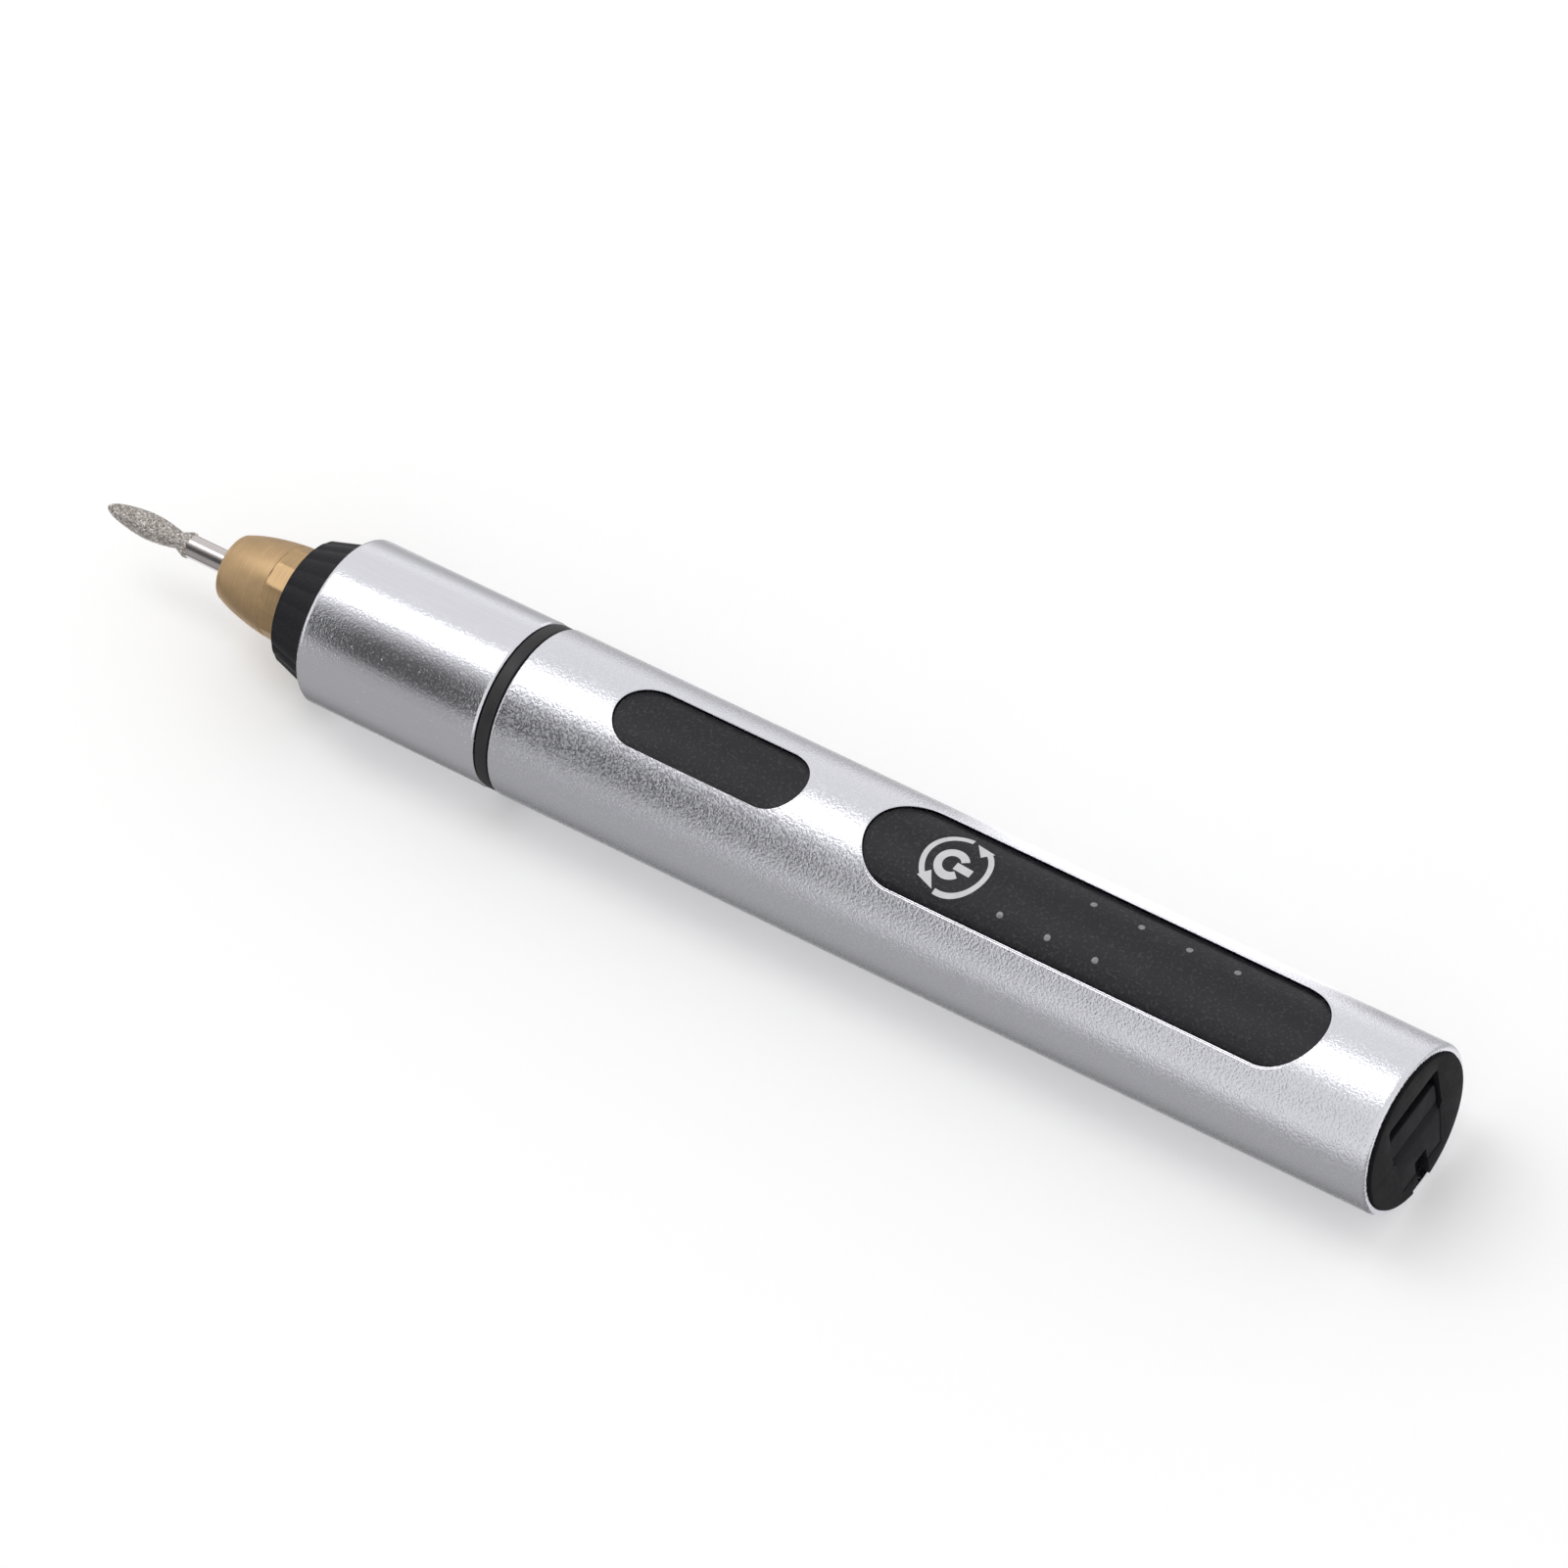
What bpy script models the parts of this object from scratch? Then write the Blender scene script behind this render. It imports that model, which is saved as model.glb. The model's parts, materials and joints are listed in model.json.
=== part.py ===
# Cordless engraving pen, lying on its side with the control panel up.
# Metres. +X runs along the pen from the burr's tip to the tail, +Z is up through the panel.
# The origin is under the middle of the pen, on the surface it lies on.

import math

import bmesh
import bpy
from mathutils import Vector

# Counts and shares
TUBE_SIDES = 32
ROUND_SIDES = 32
SHAFT_SIDES = 24
SMALL_SIDES = 16
PIN_SIDES = 12
CORNER_STEPS = 3
STADIUM_STEPS = 10
SMOOTH_ANGLE = math.radians(32)

# Fits
OVERRUN = 0.0020
SEAT_GAP = 0.00005
FIT_GAP = 0.00010
RUNNING_GAP = 0.00012
PANEL_GAP = 0.00010
NUT_GAP = 0.00035

# Casing tube and its rear seat for the tail cap
TUBE_DIAMETER = 0.0170
TUBE_LENGTH = 0.0968
TUBE_WALL = 0.0010
TUBE_EDGE = 0.00035
TUBE_RIM_WALL = 0.0006
TUBE_SEAT_DEPTH = 0.0012

# Joint ring between the tube and the sleeve
RING_WIDTH = 0.00158
RING_INSET = 0.00010
RING_SPIGOT = 0.0060
RING_BORE_WALL = 0.0017

# Front sleeve
SLEEVE_LENGTH = 0.0207
SLEEVE_WALL = 0.0011
SLEEVE_EDGE = 0.0006

# Nose collar
NOSE_LENGTH = 0.0044
NOSE_REAR_DIAMETER = 0.0150
NOSE_FRONT_DIAMETER = 0.0128
NOSE_EDGE = 0.00025
NOSE_SCREW_LENGTH = 0.0030
NOSE_BORE_DIAMETER = 0.0084
NOSE_RIBS = 24
NOSE_RIB_DEPTH = 0.00016

# Panels let into the tube
PANEL_RECESS = 0.00035
LONG_PANEL_START = 0.0086
LONG_PANEL_LENGTH = 0.04945
LONG_PANEL_WIDTH = 0.0097
SHORT_PANEL_SPACE = 0.00735
SHORT_PANEL_LENGTH = 0.0210
SHORT_PANEL_WIDTH = 0.0070
SHORT_PANEL_THICKNESS = 0.00055
FILM_THICKNESS = 0.00030
CARRIER_WALL = 0.0010
CARRIER_SKIRT_WALL = 0.0008

# Power key and the switch under it
KEY_SETBACK = 0.00955
KEY_DIAMETER = 0.0074
KEY_THICKNESS = 0.00175
KEY_STEM = 0.00030
KEY_STEM_DIAMETER = 0.0026
KEY_LUG_REACH = 0.0008
KEY_LUG_WIDTH = 0.0022
KEY_LUG_THICKNESS = 0.00045
KEY_LUG_OVERLAP = 0.00015
KEY_TRAVEL = 0.00030
SWITCH_WIDTH = 0.0045
SWITCH_BODY_HEIGHT = 0.00115
SWITCH_PLUNGER_RISE = 0.00050
SWITCH_PLUNGER_DIAMETER = 0.0020
SWITCH_FLOOR = 0.00015

# Lamps: a row of three on one side of the panel and a row of four on the other
LAMP_PITCH = 0.0052
LAMP_DIAMETER = 0.00060
LAMP_ROW_OFFSET = 0.0026
LAMP_HEIGHT = 0.00060
LAMP_LENGTH = 0.0010
LAMP_WIDTH = 0.00060
NEAR_ROW_SETBACK = 0.01600
NEAR_ROW_COUNT = 3
FAR_ROW_SETBACK = 0.02290
FAR_ROW_COUNT = 4

# Control board
BOARD_THICKNESS = 0.0008
BOARD_RAIL = 0.0008
BOARD_END_SPACE = 0.0012
CHIP_LENGTH = 0.0049
CHIP_WIDTH = 0.0039
CHIP_HEIGHT = 0.0009
CHIP_SETBACK = 0.0400
BOARD_SINK = 0.0001

# Chassis and cell
CHASSIS_CLEARANCE = 0.00015
CHASSIS_WALL = 0.00060
CHASSIS_FLOOR = 0.00035
CHASSIS_END_WALL = 0.0016
CELL_LENGTH = 0.0440
CELL_HEADROOM = 0.00035
CELL_NUB_DIAMETER = 0.0050
CELL_NUB_HEIGHT = 0.0005
CELL_EDGE = 0.0004
TAB_THICKNESS = 0.00015
TAB_WIDTH = 0.0030
TAB_DROP = 0.0012
TAB_SPACE = 0.0008
LEAD_DIAMETER = 0.0008
LEAD_SPACING = 0.0018
LEAD_RISE = 0.0006
LEAD_LAP = 0.0016
LEAD_SLOT_WIDTH = 0.0050

# Tail cap, dust cover and charging socket
CAP_PROUD = 0.0006
CAP_EDGE = 0.00045
CAP_SEAT_GAP = 0.00010
CAP_PLUG_LENGTH = 0.0072
POCKET_WIDTH = 0.0081
POCKET_TOP = 0.0049
POCKET_DEPTH = 0.00155
COVER_SINK = 0.00030
COVER_THICKNESS = 0.00100
COVER_WIDTH = 0.0075
COVER_TOP = 0.0028
COVER_CORNER = 0.00045
HINGE_HEIGHT = 0.0
HINGE_GROOVE = 0.00024
PAD_WIDTH = 0.0060
PAD_HEIGHT = 0.0010
PAD_THICKNESS = 0.00040
STRAP_THICKNESS = 0.0008
STRAP_BOTTOM = 0.0054
STRAP_TAPER = 0.0006
PIT_WIDTH = 0.0019
PIT_TOP = 0.0038
PIT_DEPTH = 0.0022
NOTCH_WIDTH = 0.0026
NOTCH_OFFSET = -0.0005
NOTCH_HEIGHT = 0.0010
SOCKET_WIDTH = 0.0074
SOCKET_HEIGHT = 0.0024
SOCKET_LENGTH = 0.0054
SOCKET_CENTRE = 0.00150
SOCKET_SHELL = 0.00025
SOCKET_BACK = 0.0005
TONGUE_WIDTH = 0.0052
TONGUE_THICKNESS = 0.00050
TONGUE_SHORTFALL = 0.0010
CHARGE_BOARD_WIDTH = 0.0100
CHARGE_BOARD_THICKNESS = 0.0008

# Motor
MOTOR_LENGTH = 0.0210
MOTOR_CLEARANCE = 0.00010
MOTOR_CAN_WALL = 0.00050
MOTOR_CAN_EDGE = 0.0005
MOTOR_BOSS_DIAMETER = 0.0050
MOTOR_BOSS_HEIGHT = 0.0012
MOTOR_SHAFT_DIAMETER = 0.0020
MOTOR_SHAFT_REACH = 0.0076
END_BELL_THICKNESS = 0.0016
END_BELL_PLUG = 0.0020
MAGNET_THICKNESS = 0.0012
MAGNET_LENGTH = 0.0125
MAGNET_ARC = math.radians(132)
MAGNET_STEPS = 9
MAGNET_SETBACK = 0.0012
ARMATURE_AIR_GAP = 0.00030
ARMATURE_LENGTH = 0.0100
ARMATURE_HUB_DIAMETER = 0.0036
POLE_COUNT = 3
POLE_STEM = 0.0013
POLE_SHOE_THICKNESS = 0.0008
POLE_SHOE_ARC = math.radians(92)
POLE_SHOE_STEPS = 6
WINDING_THICKNESS = 0.00075
WINDING_SPACE = 0.00010
COMMUTATOR_DIAMETER = 0.0034
COMMUTATOR_LENGTH = 0.0020
COMMUTATOR_SLOT = 0.00030
BRUSH_THICKNESS = 0.00040
BRUSH_WIDTH = 0.0014

# Spindle, bearings and coupling
SPINDLE_DIAMETER = 0.0050
SPINDLE_HUB_DIAMETER = 0.0072
SPINDLE_THREAD_DIAMETER = 0.0058
SPINDLE_THREAD_LENGTH = 0.0048
HUB_SETBACK = 0.0004
HUB_LENGTH = 0.0074
BEARING_DIAMETER = 0.0100
BEARING_WIDTH = 0.0030
BEARING_RING = 0.00075
BEARING_END_WALL = 0.0007
BALL_COUNT = 7
BALL_DIAMETER = 0.00090
CAGE_WIDTH = 0.0011
CAGE_THICKNESS = 0.00030
HOUSING_SHOULDER = 0.0012
COUPLING_DIAMETER = 0.0080
COUPLING_LENGTH = 0.0118
COUPLING_SPINDLE_GRIP = 0.0046
COUPLING_EDGE = 0.0004
GRUB_DIAMETER = 0.0020
GRUB_SINK = 0.00030
GRUB_END_SPACE = 0.0024

# Collet, nut and burr
NUT_LENGTH = 0.0086
NUT_FRONT_DIAMETER = 0.0062
NUT_REAR_DIAMETER = 0.0097
NUT_FACE_EDGE = 0.00045
NUT_CURVE_POWER = 0.694
NUT_CURVE_STEPS = 9
NUT_FLATS = 12
NUT_FLAT_LENGTH = 0.00245
NUT_FLAT_DEPTH = 0.00022
NUT_FLAT_TURN = math.radians(-14)
NUT_THREAD_GAP = 0.00010
NUT_CONE_LENGTH = 0.0022
COLLET_DIAMETER = 0.0042
COLLET_LENGTH = 0.0104
COLLET_NOSE_DIAMETER = 0.0032
COLLET_SLOT = 0.00030
COLLET_SLOT_LENGTH = 0.0080
COLLET_SLOTS = 2
COLLET_SETBACK = 0.0014
SHANK_DIAMETER = 0.00235
SHANK_GAP = 0.00006
SHANK_HIDDEN = 0.0190
SHANK_SHOWN = 0.00490
BURR_COLLAR_DIAMETER = 0.00262
BURR_COLLAR_LENGTH = 0.00060
NECK_DIAMETER = 0.00174
NECK_LENGTH = 0.00107
HEAD_DIAMETER = 0.00262
HEAD_LENGTH = 0.00856
HEAD_BELLY_SHARE = 0.41
HEAD_STEPS = 12
HEAD_TIP_DIAMETER = 0.00024

# Radii that follow from the sizes above
tube_radius = TUBE_DIAMETER / 2
tube_bore = tube_radius - TUBE_WALL
flat_share = math.cos(math.pi / TUBE_SIDES)
axis_height = tube_radius * flat_share
sleeve_bore = tube_radius - SLEEVE_WALL
chassis_radius = tube_bore - CHASSIS_CLEARANCE
chassis_flat = chassis_radius * flat_share
panel_radius = tube_radius - PANEL_RECESS
carrier_radius = panel_radius - FILM_THICKNESS - SEAT_GAP
motor_bore = chassis_flat - CHASSIS_WALL
motor_radius = motor_bore - MOTOR_CLEARANCE
cap_radius = tube_radius - TUBE_RIM_WALL - CAP_SEAT_GAP
shank_radius = SHANK_DIAMETER / 2
shank_bore = shank_radius / math.cos(math.pi / SMALL_SIDES) + SHANK_GAP

# Places along the pen, from the tail forward
burr_reach = SHANK_SHOWN + BURR_COLLAR_LENGTH + NECK_LENGTH + HEAD_LENGTH
casing_length = TUBE_LENGTH + RING_WIDTH + SLEEVE_LENGTH + NOSE_LENGTH
total_length = CAP_PROUD + casing_length + NUT_GAP + NUT_LENGTH + burr_reach
cap_face = total_length / 2
tube_rear = cap_face - CAP_PROUD
tube_front = tube_rear - TUBE_LENGTH
sleeve_rear = tube_front - RING_WIDTH
sleeve_front = sleeve_rear - SLEEVE_LENGTH
nose_front = sleeve_front - NOSE_LENGTH
nut_rear = nose_front - NUT_GAP
nut_front = nut_rear - NUT_LENGTH
long_rear = tube_rear - LONG_PANEL_START
long_front = long_rear - LONG_PANEL_LENGTH
short_rear = long_front - SHORT_PANEL_SPACE
short_front = short_rear - SHORT_PANEL_LENGTH
key_x = long_front + KEY_SETBACK

# Heights above the pen's axis, from the panel down to the cell
key_bottom = panel_radius - KEY_THICKNESS
plunger_top = key_bottom - KEY_STEM - SEAT_GAP
board_top = plunger_top - SWITCH_PLUNGER_RISE - SWITCH_BODY_HEIGHT - SEAT_GAP
board_bottom = board_top - BOARD_THICKNESS
cell_top = board_bottom - CELL_HEADROOM
cell_bottom = FIT_GAP + CHASSIS_FLOOR - chassis_flat
cell_radius = (cell_top - cell_bottom) / 2
cell_height = (cell_top + cell_bottom) / 2
board_half_width = math.sqrt(chassis_radius**2 - board_top**2) - BOARD_RAIL

# Places of the inner pieces
plug_front = tube_rear - CAP_PLUG_LENGTH
chassis_rear = plug_front - FIT_GAP
cell_rear = chassis_rear - CHASSIS_END_WALL - TAB_SPACE
cell_front = cell_rear - CELL_LENGTH
board_rear = chassis_rear - BOARD_END_SPACE
board_front = cell_front - TAB_SPACE - TAB_THICKNESS - BOARD_END_SPACE
motor_rear = board_front - CHASSIS_END_WALL - END_BELL_THICKNESS
can_rear = motor_rear - END_BELL_THICKNESS
motor_front = can_rear - MOTOR_LENGTH
housing_rear = sleeve_rear - RING_SPIGOT - FIT_GAP
housing_front = sleeve_front + NOSE_SCREW_LENGTH + FIT_GAP
coupling_rear = motor_front - MOTOR_BOSS_HEIGHT - RUNNING_GAP - BEARING_END_WALL
coupling_front = coupling_rear - COUPLING_LENGTH
spindle_rear = coupling_front + COUPLING_SPINDLE_GRIP
hub_front = nose_front + HUB_SETBACK
hub_rear = hub_front + HUB_LENGTH
thread_front = hub_front - HUB_SETBACK - SPINDLE_THREAD_LENGTH
rear_bearing_x = housing_rear - BEARING_END_WALL - BEARING_WIDTH / 2
front_bearing_x = housing_front + BEARING_END_WALL + BEARING_WIDTH / 2
collet_front = nut_front + COLLET_SETBACK
collet_rear = collet_front + COLLET_LENGTH
neck_rear = nut_front - SHANK_SHOWN - BURR_COLLAR_LENGTH

FINISHES = {
    "satin aluminium": ((0.74, 0.75, 0.77), 0.36, 1.0),
    "smooth aluminium": ((0.78, 0.79, 0.81), 0.24, 1.0),
    "black plastic": ((0.018, 0.018, 0.020), 0.50, 0.0),
    "charcoal film": ((0.042, 0.040, 0.045), 0.62, 0.0),
    "black rubber": ((0.024, 0.024, 0.026), 0.70, 0.0),
    "brass": ((0.78, 0.57, 0.28), 0.30, 1.0),
    "polished steel": ((0.72, 0.71, 0.70), 0.16, 1.0),
    "diamond grit": ((0.36, 0.34, 0.32), 0.62, 0.4),
    "grey plastic": ((0.30, 0.31, 0.33), 0.55, 0.0),
    "bright steel": ((0.62, 0.62, 0.63), 0.30, 1.0),
    "nickel": ((0.66, 0.64, 0.60), 0.28, 1.0),
    "copper wire": ((0.62, 0.27, 0.12), 0.35, 1.0),
    "magnet": ((0.07, 0.07, 0.075), 0.60, 0.3),
    "green board": ((0.02, 0.13, 0.06), 0.45, 0.0),
    "cell wrap": ((0.03, 0.12, 0.36), 0.35, 0.0),
    "clear guide": ((0.55, 0.56, 0.58), 0.25, 0.0),
    "red lead": ((0.50, 0.03, 0.02), 0.45, 0.0),
    "black lead": ((0.02, 0.02, 0.02), 0.45, 0.0),
}


def clear_scene():
    for obj in list(bpy.data.objects):
        bpy.data.objects.remove(obj, do_unlink=True)


def finish_of(name, kind):
    """Each piece has its own material, named after the piece."""
    colour, roughness, metallic = FINISHES[kind]
    material = bpy.data.materials.new(name)
    material.use_nodes = True
    shader = material.node_tree.nodes["Principled BSDF"]
    shader.inputs["Base Color"].default_value = (*colour, 1)
    shader.inputs["Roughness"].default_value = roughness
    shader.inputs["Metallic"].default_value = metallic
    material.diffuse_color = (*colour, 1)
    return material


def add_empty(name, location, parent=None):
    empty = bpy.data.objects.new(name, None)
    bpy.context.scene.collection.objects.link(empty)
    empty.empty_display_size = TUBE_DIAMETER
    empty.location = Vector(location) - (home_of(parent) if parent else Vector())
    empty.parent = parent
    return empty


def home_of(obj):
    """Where an unrotated object stands in the world."""
    here = Vector(obj.location)
    if obj.parent:
        here += home_of(obj.parent)
    return here


def add_object(name, mesh, location, parent, kind):
    """Links a mesh as a piece, or as a hidden cutter where it has no finish."""
    obj = bpy.data.objects.new(name, mesh)
    bpy.context.scene.collection.objects.link(obj)
    obj.parent = parent
    obj.location = Vector(location) - (home_of(parent) if parent else Vector())
    if kind is None:
        obj.hide_render = True
        obj.display_type = "WIRE"
    else:
        mesh.materials.append(finish_of(name, kind))
    return obj


def mesh_from(bm, name):
    bmesh.ops.recalc_face_normals(bm, faces=bm.faces)
    mesh = bpy.data.meshes.new(name)
    bm.to_mesh(mesh)
    bm.free()
    mesh.shade_smooth()
    mesh.set_sharp_from_angle(angle=SMOOTH_ANGLE)
    return mesh


def arc(centre, radius, start, end, steps):
    """Points of a round stretch, as (along, out) pairs."""
    for step in range(steps + 1):
        angle = start + (end - start) * step / steps
        yield centre[0] + radius * math.cos(angle), centre[1] + radius * math.sin(angle)


def turned(name, profile, origin_x, kind, parent=None, sides=ROUND_SIDES, height=0.0, closed=True):
    """A piece turned about a line along X. The profile holds (x, radius) pairs in the pen's frame."""
    bm = bmesh.new()
    half_step = math.pi / sides
    ring = []
    for x, radius in profile:
        ring.append(bm.verts.new((x - origin_x, radius * math.sin(half_step), radius * math.cos(half_step))))
    pairs = list(zip(ring, ring[1:]))
    if closed:
        pairs.append((ring[-1], ring[0]))
    edges = [bm.edges.new(pair) for pair in pairs]
    bmesh.ops.spin(
        bm, geom=ring + edges, cent=(0, 0, 0), axis=(1, 0, 0), angle=math.tau, steps=sides, use_merge=True
    )
    bmesh.ops.remove_doubles(bm, verts=bm.verts, dist=SEAT_GAP / 1000)
    place = (origin_x, 0, axis_height + height)
    return add_object(name, mesh_from(bm, name), place, parent, kind)


def disc(rear, front, radius):
    """Profile of a plain round bar."""
    return [(rear, 0), (rear, radius), (front, radius), (front, 0)]


def pipe(rear, front, outer, inner):
    """Profile of a plain pipe."""
    return [(rear, inner), (rear, outer), (front, outer), (front, inner)]


def turned_bar(name, rear, front, radius, kind, parent=None, sides=ROUND_SIDES, height=0.0):
    middle = (rear + front) / 2
    return turned(name, disc(rear, front, radius), middle, kind, parent, sides, height, closed=False)


def turned_pipe(name, rear, front, outer, inner, kind, parent=None, sides=ROUND_SIDES, height=0.0):
    middle = (rear + front) / 2
    return turned(name, pipe(rear, front, outer, inner), middle, kind, parent, sides, height)


def extruded(name, outline, low, high, kind, parent=None, origin=(0, 0, 0), across="Z"):
    """An outline pushed from low to high along one axis. Outlines are (X, Y) for Z and (Y, Z) for X."""
    bm = bmesh.new()
    verts = []
    for first, second in outline:
        point = Vector((first, second, low)) if across == "Z" else Vector((low, first, second))
        verts.append(bm.verts.new(point - Vector(origin)))
    face = bm.faces.new(verts)
    grown = bmesh.ops.extrude_face_region(bm, geom=[face])
    moved = [item for item in grown["geom"] if isinstance(item, bmesh.types.BMVert)]
    push = high - low
    bmesh.ops.translate(bm, verts=moved, vec=(0, 0, push) if across == "Z" else (push, 0, 0))
    place = Vector(origin) + Vector((0, 0, axis_height))
    return add_object(name, mesh_from(bm, name), place, parent, kind)


def rectangle(low_a, high_a, low_b, high_b):
    return [(low_a, low_b), (high_a, low_b), (high_a, high_b), (low_a, high_b)]


def round_rectangle(low_a, high_a, low_b, high_b, corner):
    corners = (
        (high_a - corner, high_b - corner, 0),
        (low_a + corner, high_b - corner, 1),
        (low_a + corner, low_b + corner, 2),
        (high_a - corner, low_b + corner, 3),
    )
    points = []
    for a, b, quarter in corners:
        start = quarter * math.pi / 2
        points += arc((a, b), corner, start, start + math.pi / 2, CORNER_STEPS)
    return points


def circle(a, b, radius, sides):
    return [
        (a + radius * math.cos(math.tau * step / sides), b + radius * math.sin(math.tau * step / sides))
        for step in range(sides)
    ]


def block(name, low, high, kind=None, parent=None, origin=(0, 0, 0)):
    """A box between two corners. Heights are above the pen's axis."""
    outline = rectangle(low[0], high[0], low[1], high[1])
    return extruded(name, outline, low[2], high[2], kind, parent, origin)


def stadium(rear, front, half_width):
    """A slot outline with round ends, seen from above."""
    half_turn = math.pi / 2
    rear_end = arc((rear - half_width, 0), half_width, -half_turn, half_turn, STADIUM_STEPS)
    front_end = arc((front + half_width, 0), half_width, half_turn, 3 * half_turn, STADIUM_STEPS)
    return list(rear_end) + list(front_end)


def combine(target, tool, operation):
    modifier = target.modifiers.new(tool.name, "BOOLEAN")
    modifier.operation = operation
    modifier.object = tool
    modifier.solver = "EXACT"


def cut(target, *tools):
    for tool in tools:
        combine(target, tool, "DIFFERENCE")


def add(target, *tools):
    for tool in tools:
        combine(target, tool, "UNION")


def keep_inside(target, tool):
    combine(target, tool, "INTERSECT")


def curved_plate(name, rear, front, half_width, outer, inner, kind, parent, origin=(0, 0, 0)):
    """A slot-shaped plate bent round the pen's axis."""
    plate = extruded(name, stadium(rear, front, half_width), 0, outer + OVERRUN, kind, parent, origin)
    skin = turned_pipe(name + "_bend", rear + OVERRUN, front - OVERRUN, outer, inner, None)
    keep_inside(plate, skin)
    return plate


def stadium_cutter(name, rear, front, half_width, low, high):
    return extruded(name, stadium(rear, front, half_width), low, high, None)


def lamp_places():
    """The x and y of each lamp, the near row first."""
    for row, setback, count in ((-1, NEAR_ROW_SETBACK, NEAR_ROW_COUNT), (1, FAR_ROW_SETBACK, FAR_ROW_COUNT)):
        for number in range(count):
            yield long_front + setback + number * LAMP_PITCH, row * LAMP_ROW_OFFSET


def build_tube(pen):
    seat_radius = tube_radius - TUBE_RIM_WALL
    profile = [(tube_rear - TUBE_SEAT_DEPTH, tube_bore), (tube_rear - TUBE_SEAT_DEPTH, seat_radius)]
    profile += [(tube_rear, seat_radius), (tube_rear, tube_radius - TUBE_EDGE)]
    profile += [(tube_rear - TUBE_EDGE, tube_radius), (tube_front + TUBE_EDGE, tube_radius)]
    profile += [(tube_front, tube_radius - TUBE_EDGE), (tube_front, tube_bore)]
    tube = turned("body_tube", profile, (tube_rear + tube_front) / 2, "satin aluminium", pen, TUBE_SIDES)
    top = tube_radius + OVERRUN
    cut(tube, stadium_cutter("long_window", long_rear, long_front, LONG_PANEL_WIDTH / 2, 0, top))
    cut(tube, stadium_cutter("short_window", short_rear, short_front, SHORT_PANEL_WIDTH / 2, 0, top))


def build_joint_ring(pen):
    rear_spigot = tube_bore - FIT_GAP
    front_spigot = sleeve_bore - FIT_GAP
    bore = front_spigot - RING_BORE_WALL
    outer = tube_radius - RING_INSET
    profile = [(tube_front + RING_SPIGOT, bore), (tube_front + RING_SPIGOT, rear_spigot)]
    profile += [(tube_front - SEAT_GAP, rear_spigot), (tube_front - SEAT_GAP, outer)]
    profile += [(sleeve_rear + SEAT_GAP, outer), (sleeve_rear + SEAT_GAP, front_spigot)]
    profile += [(sleeve_rear - RING_SPIGOT, front_spigot), (sleeve_rear - RING_SPIGOT, bore)]
    turned("joint_ring", profile, (tube_front + sleeve_rear) / 2, "black plastic", pen, TUBE_SIDES)


def build_sleeve(pen):
    profile = [(sleeve_rear, sleeve_bore), (sleeve_rear, tube_radius - TUBE_EDGE)]
    profile += [(sleeve_rear - TUBE_EDGE, tube_radius)]
    edge_centre = (sleeve_front + SLEEVE_EDGE, tube_radius - SLEEVE_EDGE)
    profile += arc(edge_centre, SLEEVE_EDGE, math.pi / 2, math.pi, CORNER_STEPS)
    profile += [(sleeve_front, sleeve_bore)]
    turned("front_sleeve", profile, (sleeve_rear + sleeve_front) / 2, "smooth aluminium", pen, TUBE_SIDES)


def build_nose(pen):
    """A ribbed cone that seats on the sleeve's end and screws into it."""
    sides = 2 * NOSE_RIBS
    screw_radius = sleeve_bore * flat_share - FIT_GAP
    rear_radius = NOSE_REAR_DIAMETER / 2
    front_radius = NOSE_FRONT_DIAMETER / 2
    bore = NOSE_BORE_DIAMETER / 2
    profile = [(sleeve_front + NOSE_SCREW_LENGTH, bore), (sleeve_front + NOSE_SCREW_LENGTH, screw_radius)]
    profile += [(sleeve_front, screw_radius), (sleeve_front - SEAT_GAP, rear_radius)]
    edge_centre = (nose_front + NOSE_EDGE, front_radius - NOSE_EDGE)
    profile += arc(edge_centre, NOSE_EDGE, math.pi / 2, math.pi, CORNER_STEPS)
    profile += [(nose_front, bore)]
    nose = turned("nose_collar", profile, nose_front, "black plastic", pen, sides)
    ribs_from = sleeve_front - nose_front - SEAT_GAP / 2
    for vert in nose.data.vertices:
        radius = math.hypot(vert.co.y, vert.co.z)
        step = round(math.atan2(vert.co.y, vert.co.z) / (math.pi / sides))
        groove = step % 4 == 1 and NOSE_EDGE / 2 < vert.co.x < ribs_from
        if groove and radius > (bore + front_radius) / 2:
            share = (radius - NOSE_RIB_DEPTH) / radius
            vert.co.y *= share
            vert.co.z *= share


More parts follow.
